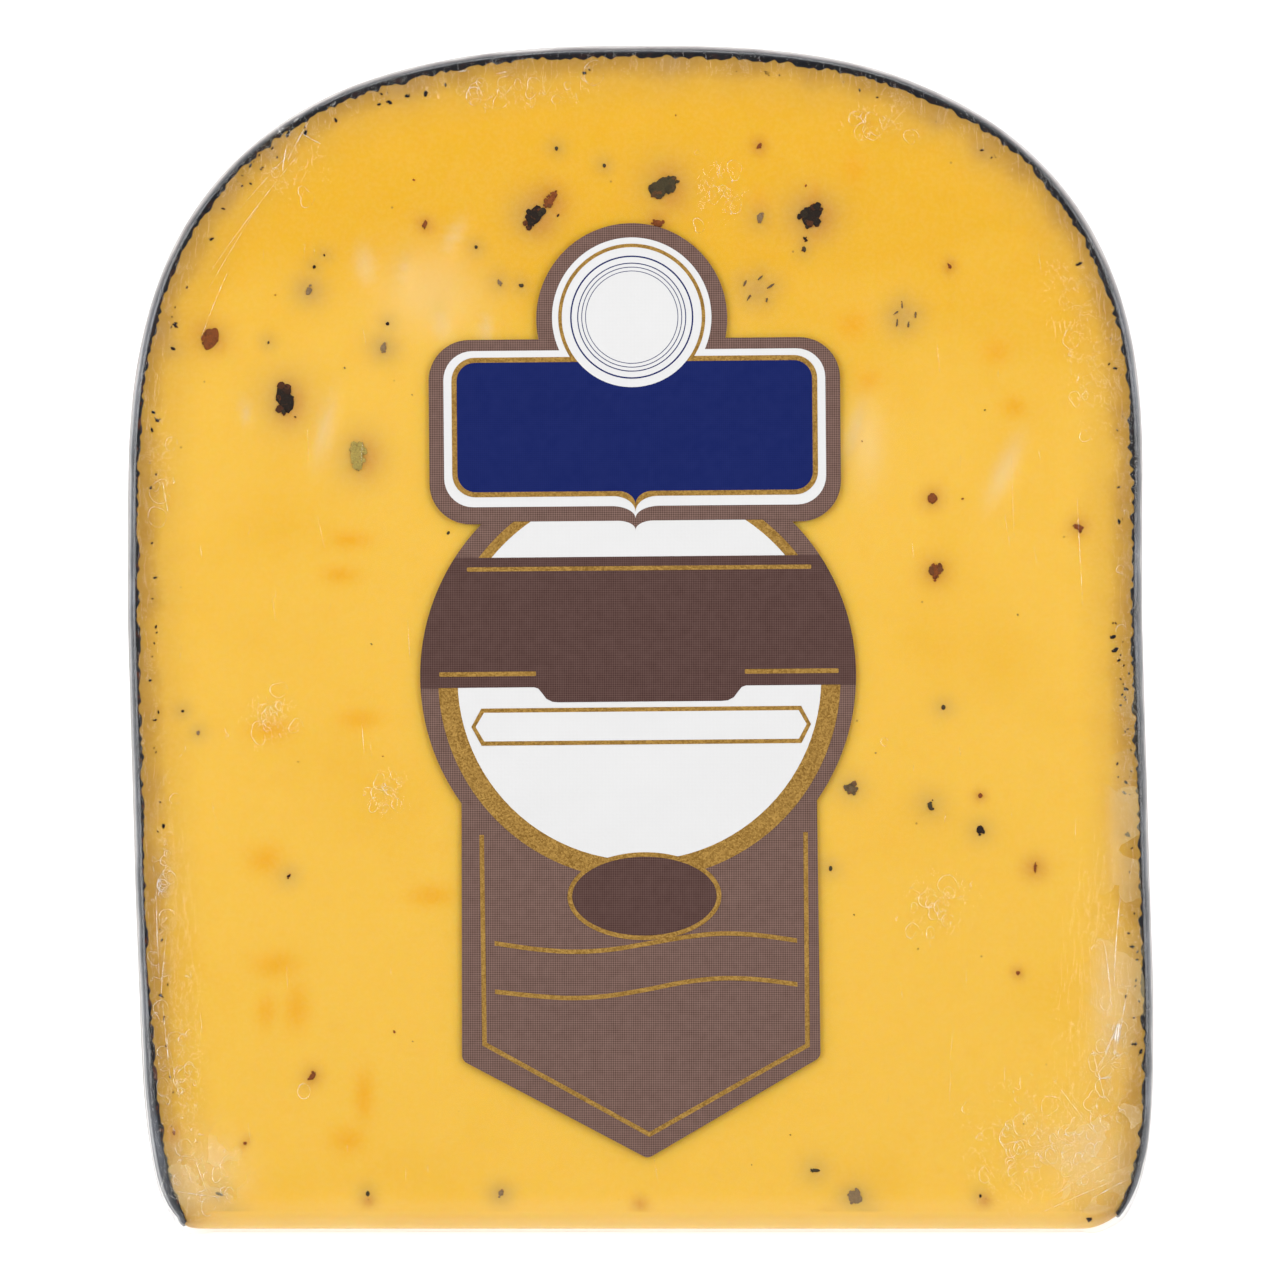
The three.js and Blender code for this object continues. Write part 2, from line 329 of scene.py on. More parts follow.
# %% The small shavings and crumbs
SMALL_SHAVINGS = [
    (1.9, 111.0, 1.1, 0.8, 80, "red"),
    (16.4, 109.4, 0.7, 0.4, 30, "black"),
    (16.3, 108.4, 0.6, 0.5, 0, "moss"),
    (-20.9, 110.8, 0.9, 0.5, -20, "red"),
    (-15.9, 108.6, 0.4, 0.3, 0, "moss"),
    (-13.6, 105.1, 0.7, 0.5, 20, "buried"),
    (-11.5, 104.8, 0.5, 0.4, 40, "moss"),
    (12.0, 111.5, 1.2, 0.7, 0, "buried"),
    (30.6, 106.7, 0.6, 0.4, 30, "red"),
    (43.3, 81.1, 1.1, 0.8, 80, "red"),
    (30.0, 63.4, 0.5, 0.4, 0, "moss"),
    (28.7, 53.8, 1.3, 0.7, 5, "moss"),
    (33.6, 54.7, 0.5, 0.4, 0, "red"),
    (33.6, 51.3, 0.9, 0.8, 0, "black"),
    (39.0, 47.6, 1.4, 0.3, 0, "red"),
    (18.9, 47.6, 0.5, 0.4, 0, "moss"),
    (37.3, 37.3, 0.5, 0.4, 0, "red"),
    (-34.3, 46.8, 0.6, 0.4, -60, "black"),
    (-32.0, 27.1, 1.0, 0.6, -20, "red"),
    (-43.2, 60.9, 0.4, 0.3, 0, "buried"),
    (-44.7, 63.0, 0.3, 0.3, 0, "black"),
    (-13.5, 15.6, 0.9, 0.8, 40, "buried"),
    (0.2, 14.6, 0.7, 0.5, 0, "red"),
    (17.4, 17.9, 1.1, 0.4, 90, "moss"),
    (21.3, 15.3, 1.4, 1.2, 0, "buried"),
    (22.3, 13.7, 0.9, 0.7, 20, "black"),
    (18.5, 13.1, 0.7, 0.5, 0, "red"),
    (34.1, 14.9, 0.5, 0.4, 0, "red"),
    (33.6, 15.4, 0.4, 0.3, 0, "black"),
    (34.5, 12.95, 0.5, 0.4, 0, "red"),
    (44.4, 13.3, 1.1, 0.7, 0, "black"),
    (-39.7, 12.95, 1.4, 0.8, 80, "black"),
    (-40.1, 13.7, 0.7, 0.4, -40, "black"),
    (-41.1, 15.6, 0.9, 0.3, 70, "black"),
    (-26.6, 15.6, 0.5, 0.4, 0, "moss"),
    (-26.5, 14.9, 0.4, 0.3, 0, "red"),
    (-38.6, 20.6, 0.3, 0.3, 0, "red"),
    (-36.3, 99.2, 0.3, 0.2, 0, "moss"),
    (-8.0, 118.3, 0.4, 0.3, 0, "moss"),
    (11.9, 118.5, 0.8, 0.4, -40, "red"),
    (29.5, 121.0, 0.6, 0.4, 90, "black"),
    (33.8, 118.1, 0.5, 0.3, 90, "black"),
    (7.3, 103.9, 0.4, 0.3, 0, "red"),
    (-3.3, 116.6, 0.4, 0.3, 0, "moss"),
    (3.4, 126.6, 1.4, 0.55, 88, "black"),
    (-46.9, 100.2, 0.6, 0.3, 20, "black"),
    (-45.7, 98.6, 0.5, 0.3, 60, "black"),
    (-41.0, 113.2, 0.8, 0.25, -50, "black"),
    (-35.9, 118.3, 0.6, 0.25, -40, "black"),
    (-22.4, 124.4, 1.2, 0.35, 78, "black"),
    (-45.6, 21.6, 0.6, 0.35, 0, "red"),
    (-45.9, 16.8, 0.5, 0.3, 10, "red"),
]

# %% [markdown]
# Some shavings were sliced into a star of five thin strokes with a smoky halo. They look
# complicated but are only short strokes set round a middle, so a helper adds them to the list.


# %% Stars of thin strokes
def star(side, out, reach, kind, seed):
    """Five thin strokes round a middle, each turned and placed a little by chance."""
    chance = np.random.default_rng(seed)
    strokes = []
    for turn in (15, 80, 150, 215, 300):
        away = reach * chance.uniform(0.55, 0.95)
        angle = math.radians(turn + chance.uniform(-15, 15))
        strokes.append(
            (
                side + away * math.cos(angle),
                out + away * math.sin(angle),
                chance.uniform(0.45, 0.9),
                0.22,
                chance.uniform(-60, 10),
                kind,
            )
        )
    return strokes


SMALL_SHAVINGS += star(11.7, 104.4, 1.5, "grey", 4)
SMALL_SHAVINGS += star(26.0, 101.7, 1.4, "grey", 9)
SMALL_SHAVINGS += [
    (-32.3, 104.3, 1.1, 0.7, -30, "buried"),
    (-31.8, 106.7, 0.35, 0.3, 0, "black"),
    (-30.8, 107.8, 0.25, 0.2, 0, "black"),
    (-25.0, 98.7, 1.0, 0.8, -20, "buried"),
    (-24.6, 101.1, 0.35, 0.3, 0, "black"),
]

# %% [markdown]
# Dozens of crumbs too small to place one by one are strewn over both cut faces by seeded
# chance, thicker on the lower face, which has no listed shavings of its own.


# %% Crumbs strewn by chance
def strewn(count, seed, small, large):
    """Points spread over the face inside the coating, each a crumb of its own size and kind."""
    chance = np.random.default_rng(seed)
    crumbs = []
    while len(crumbs) < count:
        side, out = chance.uniform(-47, 47), chance.uniform(15, 126)
        reach = np.interp(out, [84, 100, 112, 120, 126], [47, 43, 36, 26, 12])
        if abs(side) < reach - 1:
            size = small + (large - small) * chance.random() ** 4
            kind = ("moss", "red", "black", "buried")[chance.integers(4)]
            turn = chance.uniform(-90, 90)
            crumbs.append((side, out, size, size * 0.6, turn, kind))
    return crumbs


def flecks_of_coating(count, seed):
    """Black flecks that the knife pulled off the coat, just inside its lip."""
    chance = np.random.default_rng(seed)
    line = even_outline(1500)
    allowed = np.flatnonzero((coated_share(line) > 0.5) & (line["out"] > 20))
    flecks = []
    for k in chance.choice(allowed, count):
        inset = 0.80 + 1.7 * chance.random() ** 2.2
        side = line["side"][k] - line["normal_side"][k] * inset
        out = line["out"][k] - line["normal_out"][k] * inset
        size = 0.26 + 0.60 * chance.random() ** 3
        flecks.append((side, out, size, size * 0.55, chance.uniform(-90, 90), "fleck"))
    return flecks


UPPER_CRUMBS = strewn(46, 31, 0.16, 0.42) + flecks_of_coating(300, 41)
LOWER_CRUMBS = strewn(90, 57, 0.25, 3.2)
print("shavings on top:", len(LARGE_SHAVINGS) + len(SMALL_SHAVINGS) + len(UPPER_CRUMBS))

# %% [markdown]
# ## The relief of the cut face
#
# A long knife leaves a face that is almost flat. What there is to see is a faint waviness and a
# few narrow lens-shaped dents, where the paste pulled away from a small air hole. The relief
# only ever goes inwards, so the film and the label can lie on the plane above it.

# %% Dents and waviness
DENTS = [
    (-30.8, 90.6, 5.0, 1.1, -14),
    (-18.2, 109.5, 3.2, 1.1, -32),
    (-23.0, 106.3, 3.0, 1.0, -18),
    (-26.8, 106.8, 3.0, 1.5, 4),
    (-19.3, 101.2, 3.2, 1.6, 2),
    (-15.0, 100.6, 2.4, 0.9, -8),
    (21.4, 90.6, 4.6, 1.2, -12),
    (36.0, 86.6, 5.4, 1.5, -24),
    (-38.6, 92.4, 2.0, 0.6, 5),
]


def lens(side, out, dent):
    """1 in the middle of a long narrow patch, falling softly to 0 at its edge."""
    at_side, at_out, length, width, turn = dent
    angle = math.radians(turn)
    across = (side - at_side) * math.cos(angle) + (out - at_out) * math.sin(angle)
    along = -(side - at_side) * math.sin(angle) + (out - at_out) * math.cos(angle)
    return np.exp(-((across / width * 1.6) ** 2) - (along / length * 1.6) ** 2)


def all_dents(side, out):
    """The deepest of the dents at each point."""
    return np.max([lens(side, out, dent) for dent in DENTS], axis=0)


def face_relief(side, out):
    """Waves of two sizes and the dents, in millimetres, never above the plane of the cut."""
    waves = 0.07 * hills(side, out, 17, 3) + 0.03 * hills(side, out, 6, 8) - 0.10
    return waves - 0.32 * all_dents(side, out)


# %% [markdown]
# ## The paste
#
# The paste is one closed body. Starting from a pole in the middle of the upper face (where the
# label will hide it), rings grow outwards to the edge, turn down round it, cross the side, and
# shrink again to a pole in the lower face. Where the outline is the nose, the turn is a full
# round; beside the coating it is only a slight easing of the edge.

# %% How each layer turns the edge
FACE_MIDDLE = (0.4, 66.0)


def edge_rows(line, inset, reach, fall, middle_rows, lift=0.0):
    """
    The rows that carry a face's edge over the side to the other face. From the edge ring, a
    quarter ellipse of width reach and height fall, then straight down, then the same quarter again.
    Depth is turned into an angle about the wheel's axis, so the side is part of the wheel.
    """
    start = inset + reach
    side = line["side"] - line["normal_side"] * start
    out = line["out"] - line["normal_out"] * start
    height = out * CUT_ANGLE
    turn = np.linspace(0, math.pi / 2, 8)[:, None]
    quarter_out, quarter_down = reach * np.sin(turn), fall * (1 - np.cos(turn)) - lift
    share = np.linspace(0, 1, middle_rows + 2)[1:-1, None]
    top, bottom = quarter_down[-1], height - quarter_down[-1]
    straight_down = top + (bottom - top) * share
    outwards = np.concatenate(
        [quarter_out, np.repeat(quarter_out[-1:], middle_rows, 0), quarter_out[::-1]]
    )
    down = np.concatenate([quarter_down, straight_down, height - quarter_down[::-1]])
    angle = CUT_ANGLE * (1 - down / height)
    return side, out, in_wheel(
        side + line["normal_side"] * outwards,
        out + line["normal_out"] * outwards,
        angle,
    )


def face_rings(side, out, rows, tight):
    """Shares of the way from the middle of the face to its edge, closer together near the edge."""
    share = 1 - (1 - np.linspace(0, 1, rows + 1)[1:-1]) ** tight
    share = share[:, None]
    at_side, at_out = FACE_MIDDLE
    return at_side + (side - at_side) * share, at_out + (out - at_out) * share


# %% Build the paste
coated = eased(coated_share(outline), 4)
paste_inset = 0.05 + 0.27 * coated
paste_reach = 1.55 - 1.30 * coated
paste_edge_side, paste_edge_out, paste_sides = edge_rows(
    outline, paste_inset, paste_reach, paste_reach, 4
)
upper_side, upper_out = face_rings(paste_edge_side, paste_edge_out, 74, 1.25)
lower_side, lower_out = face_rings(paste_edge_side, paste_edge_out, 22, 1.3)
edge_gap = 1 - np.hypot(upper_side - FACE_MIDDLE[0], upper_out - FACE_MIDDLE[1]) / np.hypot(
    paste_edge_side - FACE_MIDDLE[0], paste_edge_out - FACE_MIDDLE[1]
)
upper_height = face_relief(upper_side, upper_out) * step_between(edge_gap, 0, 0.05)
paste_rings = np.concatenate(
    [
        on_upper(upper_side, upper_out, upper_height),
        paste_sides,
        on_lower(lower_side[::-1], lower_out[::-1], 0.0),
    ]
)
upper_pole = on_upper(*FACE_MIDDLE, -0.1)
lower_pole = on_lower(*FACE_MIDDLE, 0.0)
paste_points, paste_faces = stacked_rings(paste_rings, upper_pole, lower_pole)
print("rows in the paste:", len(paste_rings))

# %% [markdown]
# The paste is not one colour. Beside the rind it is darker and drier, round each shaving the
# oil of the truffle has stained it, and here and there are spots of deeper amber. Pale patches,
# where the film lies loose over dents, crinkles and the nose, are painted reflection of the film.
# Painting those as values on the points keeps the material simple: it only mixes colours by the
# values it is given.

# %% Values that the paste's material reads
AMBER_SPOTS = [
    (21.1, 100.9, 1.6, 1.6),
    (35.2, 98.4, 1.4, 1.2),
    (22.6, 95.5, 1.2, 1.0),
    (36.9, 92.9, 1.2, 1.1),
    (21.3, 116.3, 1.2, 1.4),
    (12.0, 112.9, 1.0, 1.2),
    (17.3, 113.6, 0.6, 1.6),
    (-28.3, 79.8, 2.0, 0.9),
    (-29.3, 76.4, 1.8, 0.9),
    (-36.1, 61.2, 2.0, 1.0),
    (-27.3, 62.2, 1.9, 0.9),
    (-36.6, 48.4, 1.7, 1.4),
    (-35.5, 38.1, 2.2, 1.2),
    (-33.5, 33.9, 1.2, 2.2),
    (-20.3, 44.9, 2.2, 1.0),
    (-28.5, 20.9, 1.6, 1.2),
    (-36.5, 33.5, 0.9, 1.6),
    (-26.9, 25.1, 1.0, 2.4),
]


def spots(side, out, places):
    """The strongest of several soft oval spots, each given by side, out, width and length."""
    return np.max(
        [
            np.exp(-(((side - s) / w) ** 2) - ((out - o) / l) ** 2)
            for s, o, w, l in places
        ],
        axis=0,
    )


listed = LARGE_SHAVINGS + SMALL_SHAVINGS
SMOKE = [(s, o, 0.8 + 0.75 * l, 0.8 + 0.75 * l) for s, o, l, w, t, k in listed if k != "red"]
RUST = [(s, o, 0.35 + 0.7 * l, 0.35 + 0.7 * l) for s, o, l, w, t, k in listed if k == "red"]
RUST += [
    (s + 0.5, o - 0.2, 0.9 + 0.35 * w, 0.5 + 0.5 * l) for s, o, l, w, t, k in LARGE_SHAVINGS[:7]
]
SMOKE_STRONG = [(11.7, 104.4, 2.0, 2.0), (26.0, 101.7, 1.9, 1.9), (17.0, 111.7, 3.0, 2.6)]
SMOKE_STRONG += [(-32.3, 104.3, 1.7, 1.7), (-25.0, 98.7, 1.6, 1.6), (-10.2, 111.7, 2.6, 2.4)]
SMOKE_STRONG += [(21.3, 15.3, 1.8, 1.4), (-34.7, 93.5, 2.4, 2.8), (-13.5, 15.6, 1.4, 1.2)]
# Patches painted pale as the reflection of crinkled film lying loose over the paste.
PALE_SHEEN_PATCHES = [(-42.0, 18.0, 3.4, 3.2), (46.5, 33.0, 2.0, 6.0), (-20.5, 104.5, 5.0, 4.2)]
PALE_SHEEN_PATCHES += [(22.6, 89.0, 1.6, 4.0), (44.5, 19.0, 4.0, 4.0)]


def padded_to_mesh(values, rest=0.0):
    """Values on the upper rings, and a resting value on every other point of the paste."""
    whole = np.full(len(paste_points), rest)
    whole[: values.size] = values.ravel()
    return whole


nose_rows = slice(upper_side.size, upper_side.size + paste_sides[..., 0].size)
# Painted reflection: the nose's rounded edge is painted paler where the film turns over it.
painted_sheen_on_nose_rows = np.repeat(0.35 * (1 - coated)[None], len(paste_sides), 0).ravel()
smoke = 0.55 * spots(upper_side, upper_out, SMOKE)
smoke = np.maximum(smoke, 0.85 * spots(upper_side, upper_out, SMOKE_STRONG))
rind_gap = distance_to_rind(paste_rings[..., 0], np.concatenate(
    [upper_out, np.repeat(paste_edge_out[None], len(paste_sides), 0), lower_out[::-1]]
))
# The pale value is painted reflection of the film, over the crinkled patches and the dents, where
# the film lies loose over the paste.
pale = padded_to_mesh(
    np.maximum(
        0.7 * spots(upper_side, upper_out, PALE_SHEEN_PATCHES),
        0.9 * all_dents(upper_side, upper_out),
    )
)
# A painted pale band just above the nose stands in for the film's reflection there.
painted_sheen_by_nose = 0.22 * (1 - step_between(upper_out, 14.3, 15.6)) * (np.abs(upper_side) < 42)
pale[: upper_side.size] = np.maximum(pale[: upper_side.size], painted_sheen_by_nose.ravel())
pale[nose_rows] = painted_sheen_on_nose_rows
paste = make_piece(
    "cheese_body",
    paste_points,
    paste_faces,
    "cheese_paste",
    {
        "rind_gap": np.concatenate([rind_gap.ravel(), [50, 50]]),
        "smoke": padded_to_mesh(smoke),
        "rust": padded_to_mesh(spots(upper_side, upper_out, RUST)),
        "amber": padded_to_mesh(spots(upper_side, upper_out, AMBER_SPOTS)),
        "pale": pale,
    },
)
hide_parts("cheese_paste")

# %% [markdown]
# ## The coating
#
# A wheel is painted with several layers of black plastic. Where the knife went through, the
# coat ends in a thin torn lip that lies over the edge of the paste, and beyond the lip it
# rounds over and runs down the side. That is a profile carried along the rim: lip, round
# shoulder, side, shoulder and lip again, then back through the paste so that the body is
# closed.

# %% The path of the coating
fine = even_outline(3300)
fine_coated = np.flatnonzero((fine["normal_out"] > -0.80) | (fine["out"] > 40))
path = {
    key: value[fine_coated] for key, value in fine.items() if isinstance(value, np.ndarray)
}
travelled = path["walk"] - path["walk"][0]
from_end = np.minimum(travelled, travelled[-1] - travelled)
end_taper = step_between(from_end, -0.5, 5.0)
on_dome = step_between(path["out"], 96, 112)
low_down = 1 - step_between(path["out"], 16, 40)
right_hand = (path["side"] > 0).astype(float)
print("steps along the coating:", len(travelled))

# %% How wide the lip and the shoulder are
torn = 0.14 * wander(travelled, 1.1, 21) + 0.20 * wander(travelled, 0.45, 22, True)
torn += 0.10 * wander(travelled, 5.5, 23)
tooth_phase = travelled + 0.30 * wander(travelled, 3.0, 24)
teeth = np.abs(np.sin(math.pi * tooth_phase / 1.45)) ** 0.7 - 0.65
teeth *= right_hand * step_between(path["out"], 24, 34) * (1 - step_between(path["out"], 84, 92))
left_hand = 1 - right_hand
lip = 0.30 + 0.16 * on_dome + torn + 0.24 * teeth - 0.04 * left_hand * (1 - on_dome)
lip += 0.5 * lens(path["side"], path["out"], (49, 90.5, 4.0, 3.0, 0)) * right_hand
lip = np.clip(lip, 0.07, 1.6) * (0.35 + 0.65 * end_taper)
shoulder = 0.66 - 0.04 * on_dome + 0.42 * low_down * left_hand + 0.08 * wander(travelled, 9, 25)
shoulder *= 0.45 + 0.55 * end_taper
coat_proud = 0.34 * (0.15 + 0.85 * end_taper)
shoulder_start = shoulder - coat_proud
print("lip width, mm:", round(float(lip.min()), 2), "to", round(float(lip.max()), 2))

# %% [markdown]
# The shoulder falls further than it reaches out, because the coat was pressed over the edge.
# Its outer skin wanders by a tenth of a millimetre, as brushed plastic does.


# %% Build the coating
def coating_sections():
    """Profile rows: sunk lip, lip, shoulder, side, lower shoulder, lower lip, way back inside."""
    def at(inset):
        return (
            path["side"] - path["normal_side"] * inset,
            path["out"] - path["normal_out"] * inset,
        )

    rows = []
    for inset, height in (
        (shoulder_start + lip + 0.10, -0.25),
        (shoulder_start + lip, 0.015),
        (shoulder_start + lip * 0.65, 0.06),
        (shoulder_start + lip * 0.25, 0.07),
    ):
        side, out = at(inset)
        rows.append(on_upper(side, out, height + 0 * side))
    side, out = at(shoulder_start)
    height = out * CUT_ANGLE
    fall = np.minimum(2.3, 0.42 * height)
    uneven = 0.06 * wander(travelled, 2.6, 26)
    turns = np.linspace(0, math.pi / 2, 10)
    depths = [fall * (1 - math.cos(t)) - 0.07 * (1 - t / 1.58) for t in turns]
    depths += [fall + (height - 2 * fall) * s for s in np.linspace(0, 1, 8)[1:-1]]
    depths += [height - d for d in depths[9::-1]]
    reach = [shoulder * math.sin(t) for t in turns]
    reach += [shoulder + 0.05 * wander(travelled, 4, 40 + k) for k in range(6)] + reach[::-1]
    for depth, out_by in zip(depths, reach):
        out_by = out_by + uneven * (out_by / shoulder)
        rows.append(
            in_wheel(
                side + path["normal_side"] * out_by,
                out + path["normal_out"] * out_by,
                CUT_ANGLE * (1 - depth / height),
            )
        )
    for inset, depth in ((shoulder_start + lip, 0.04), (shoulder + 0.6 * lip + 0.3, -0.5)):
        rows.append(on_lower(*at(inset), depth))
    inner_side, inner_out = at(shoulder + 0.6)
    rows.append(in_wheel(inner_side, inner_out, CUT_ANGLE * 0.5 + 0 * inner_out))
    return np.stack(rows, axis=1)


sections = coating_sections()
coat_points, coat_faces = carried_profile(sections)
lip_rows = np.zeros(sections.shape[:2])
lip_rows[:, :4] = 1.0
lip_rows[:, 4] = 0.35
outer_rows = np.zeros(sections.shape[:2])
outer_rows[:, 4:14] = np.sin(np.linspace(0, math.pi / 2, 10))
outer_rows[:, 14:] = 1.0
side_rows = np.repeat(left_hand[:, None] * (1 - on_dome[:, None]), sections.shape[1], 1)
dome_rows = np.repeat(on_dome[:, None], sections.shape[1], 1)
coating = make_piece(
    "rind_skin",
    coat_points,
    coat_faces,
    "rind_coating",
    {
        "torn": np.concatenate([lip_rows.ravel(), [0, 0]]),
        "dome": np.append(dome_rows.ravel(), [0, 0]),
        "left": np.append(side_rows.ravel(), [0, 0]),
        "outer": np.append(outer_rows.ravel(), [1, 1]),
    },
)
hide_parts("rind_coating")

# %% [markdown]
# ## Truffle as lumps
#
# Each shaving is a small cluster of crumbs rather than one pebble, because truffle breaks along
# its veins. A crumb is a ball whose radius is stirred by a few waves. The knife cut it flush,
# so anything that would stand above the face is pressed down to it.


# %% One crumb
CRUMB_ROUGHNESS = 0.34


def crumb(side, out, length, width, turn, rows, around, chance):
    """A ball grid (rows by around) with waves on its radius, stretched, turned and cut flush."""
    polar = np.linspace(0, math.pi, rows + 2)[1:-1, None]
    about = np.linspace(0, 2 * math.pi, around, endpoint=False)[None]
    x, y = np.sin(polar) * np.cos(about), np.sin(polar) * np.sin(about)
    z = np.cos(polar) + 0 * about
    waves = chance.uniform(-1, 1, (7, 3)) * np.array([[2.0]] * 2 + [[4.5]] * 3 + [[8.0]] * 2)
    phase, strength = chance.uniform(0, 6, 7), np.array([0.5, 0.5, 0.3, 0.3, 0.3, 0.2, 0.2])
    ball = np.stack([x, y, z], -1)
    radius = 1 + CRUMB_ROUGHNESS * (np.sin(ball @ waves.T + phase) @ strength)
    ball = ball * radius[..., None]
    angle = math.radians(turn)
    across, along = ball[..., 0] * width / 2, ball[..., 1] * length / 2
    at_side = side + across * math.cos(angle) - along * math.sin(angle)
    at_out = out + across * math.sin(angle) + along * math.cos(angle)
    height = np.minimum(ball[..., 2] * width * 0.45 + 0.03, 0.045 + 0.02 * radius)
    return at_side, at_out, height


# %% Clusters of crumbs
TRUFFLE_COLOURS = {
    "black": (0.016, 0.008, 0.004),
    "red": (0.24, 0.062, 0.010),
    "moss": (0.060, 0.045, 0.018),
    "grey": (0.16, 0.105, 0.050),
    "fleck": (0.006, 0.006, 0.008),
    "sunk": (0.43, 0.32, 0.075),
    "buried": (0.26, 0.17, 0.085),
}


def cluster(shaving, seed, place):
    """Crumbs along a shaving's long side; the biggest carries its kind, the others vary from it."""
    side, out, length, width, turn, kind = shaving
    chance = np.random.default_rng(seed)
    large = length * width > 1.2
    count = 15 if large else (4 if length > 0.5 else 1)
    parts, colours = [], []
    angle = math.radians(turn)
    for k in range(count):
        away, about = 0.30 + 0.22 * chance.random(), chance.uniform(0, 2 * math.pi)
        along, across = (0.0, 0.0) if k == 0 else (
            away * math.cos(about) * length, away * math.sin(about) * width
        )
        part = 1.0 if count == 1 else (0.80 if k == 0 else chance.uniform(0.14, 0.44))
        at_side = side - along * math.sin(angle) + across * math.cos(angle)
        at_out = out + along * math.cos(angle) + across * math.sin(angle)
        rows, around = (9, 20) if large and k == 0 else ((7, 12) if large else (5, 9))
        grid_side, grid_out, height = crumb(
            at_side,
            at_out,
            (length if k == 0 else width * 1.1) * part,
            width * part,
            turn + (0 if k == 0 else chance.uniform(-60, 60)),
            rows,
            around,
            chance,
        )
        rings = place(grid_side, grid_out, height + 0.0015 * k)
        parts.append(stacked_rings(rings, rings[0].mean(0), rings[-1].mean(0)))
        base = np.array(TRUFFLE_COLOURS[kind])
        other = np.array(TRUFFLE_COLOURS[("red", "black", "moss")[chance.integers(3)]])
        mix = 0.0 if k == 0 or kind in ("buried", "sunk", "fleck") else chance.uniform(0, 0.45)
        colour = np.append(base * (1 - mix) + other * mix, 1.0)
        colours.append(np.repeat(colour[None], len(parts[-1][0]), 0))
    return *joined(parts), np.concatenate(colours)


def many_clusters(shavings, seed, place):
    """All clusters of a list as one set of points, faces and colours."""
    parts, colours = [], []
    for k, shaving in enumerate(shavings):
        made, own_faces, tint = cluster(shaving, seed + k, place)
        parts.append((made, own_faces))
        colours.append(tint)
    return *joined(parts), np.concatenate(colours)


# %% Build the truffle
NOSE_ROUND = 1.55


def pressed_into_upper(side, out, height):
    """On the upper face, following its relief and the quarter round where it turns to the nose."""
    past = np.clip((NOSE_OUT + 0.05 + NOSE_ROUND - out) / NOSE_ROUND, 0, 0.98)
    fall = NOSE_ROUND * (1 - np.sqrt(1 - past**2)) * (np.abs(side) < 44)
    return on_upper(side, out, height + face_relief(side, out) - fall)


def pressed_into_lower(side, out, height):
    """In the lower face, mirrored so that it still faces outwards."""
    return on_lower(side[:, ::-1], out[:, ::-1], height[:, ::-1] - 0.02)


points, faces, tints = many_clusters(LARGE_SHAVINGS, 100, pressed_into_upper)
shavings = make_piece("truffle_shavings", points, faces, "truffle", {"flesh": tints})
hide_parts(*[f"truffle_piece_{k}" for k in range(1, 9)])
points, faces, tints = many_clusters(SMALL_SHAVINGS + UPPER_CRUMBS, 300, pressed_into_upper)
crumbs = make_piece("truffle_crumbs", points, faces, "truffle", {"flesh": tints})
points, faces, tints = many_clusters(LOWER_CRUMBS, 700, pressed_into_lower)
under_crumbs = make_piece("truffle_underside", points, faces, "truffle", {"flesh": tints})

# %% [markdown]
# ## The film
#
# Shrink film is drawn tight by heat, so it follows the wedge closely, bridges small hollows,
# and gathers where it had to turn a corner. It is the same stack of rings as the paste, a
# little larger. Its outline is made of short straight runs near the lower corners, where the
# film is pulled tight between folds. Values on the points say where it is crinkled, so the
# material can show bubbles and creases there and stay clear elsewhere.

# %% Build the film
film_line = even_outline(880)
film_coated = eased(coated_share(film_line), 7)
film_low = (1 - step_between(film_line["out"], 18, 40)) * film_coated
film_right = (film_line["side"] > 0).astype(float)
film_left = 1 - film_right
walk = film_line["walk"]
pulled = 0.05 * wander(walk, 7, 61) + 0.10 * film_low * wander(walk, 3.2, 62, True)
pulled += 0.20 * film_low * film_right * wander(walk, 4.4, 63, True)
nose_wave = 0.16 * wander(walk, 14, 64) * (1 - film_coated)
film_outset = 0.44 + 0.02 * film_left * film_coated * (1 - step_between(film_line["out"], 100, 118))
film_outset += 0.04 * film_low - 0.28 * (1 - film_coated) + pulled + nose_wave
film_outset = np.maximum(film_outset, 0.26 + 0.24 * step_between(film_coated, 0, 0.15))
film_dome = step_between(film_line["out"], 96, 112)
film_shoulder = 0.88 - 0.05 * film_dome + 0.40 * film_low * film_left * film_coated
film_reach = 1.95 - (1.95 - film_shoulder) * film_coated
film_height = film_line["out"] * CUT_ANGLE
film_fall = film_reach * (1 - film_coated) * 0.86 + film_coated * np.minimum(
    2.35, 0.44 * film_height
)
FILM_LIFT = 0.17
film_edge_side, film_edge_out, film_sides = edge_rows(
    film_line, -film_outset, film_reach, film_fall, 6, FILM_LIFT
)
film_side, film_out = face_rings(film_edge_side, film_edge_out, 70, 1.35)
under_side, under_out = face_rings(film_edge_side, film_edge_out, 14, 1.3)
film_raise = FILM_LIFT + 0.35 * np.minimum(face_relief(film_side, film_out) + 0.1, 0)
LAP_RISE = 0.12
lap = LAP_RISE * (np.abs(under_side - 3.0) < 4.0) * (under_out < 118)
film_rings = np.concatenate(
    [
        on_upper(film_side, film_out, film_raise),
        film_sides,
        on_lower(under_side[::-1], under_out[::-1], (FILM_LIFT + lap)[::-1]),
    ]
)
film_points, film_faces = stacked_rings(
    film_rings,
    on_upper(*FACE_MIDDLE, FILM_LIFT),
    on_lower(*FACE_MIDDLE, FILM_LIFT + LAP_RISE),
)
print("rows in the film:", len(film_rings))

# %% [markdown]
# Crinkles gather in patches: at the upper left where the film was gathered, along both sides,
# and most of all in the lower corners. Creases are longer and run down the sides.

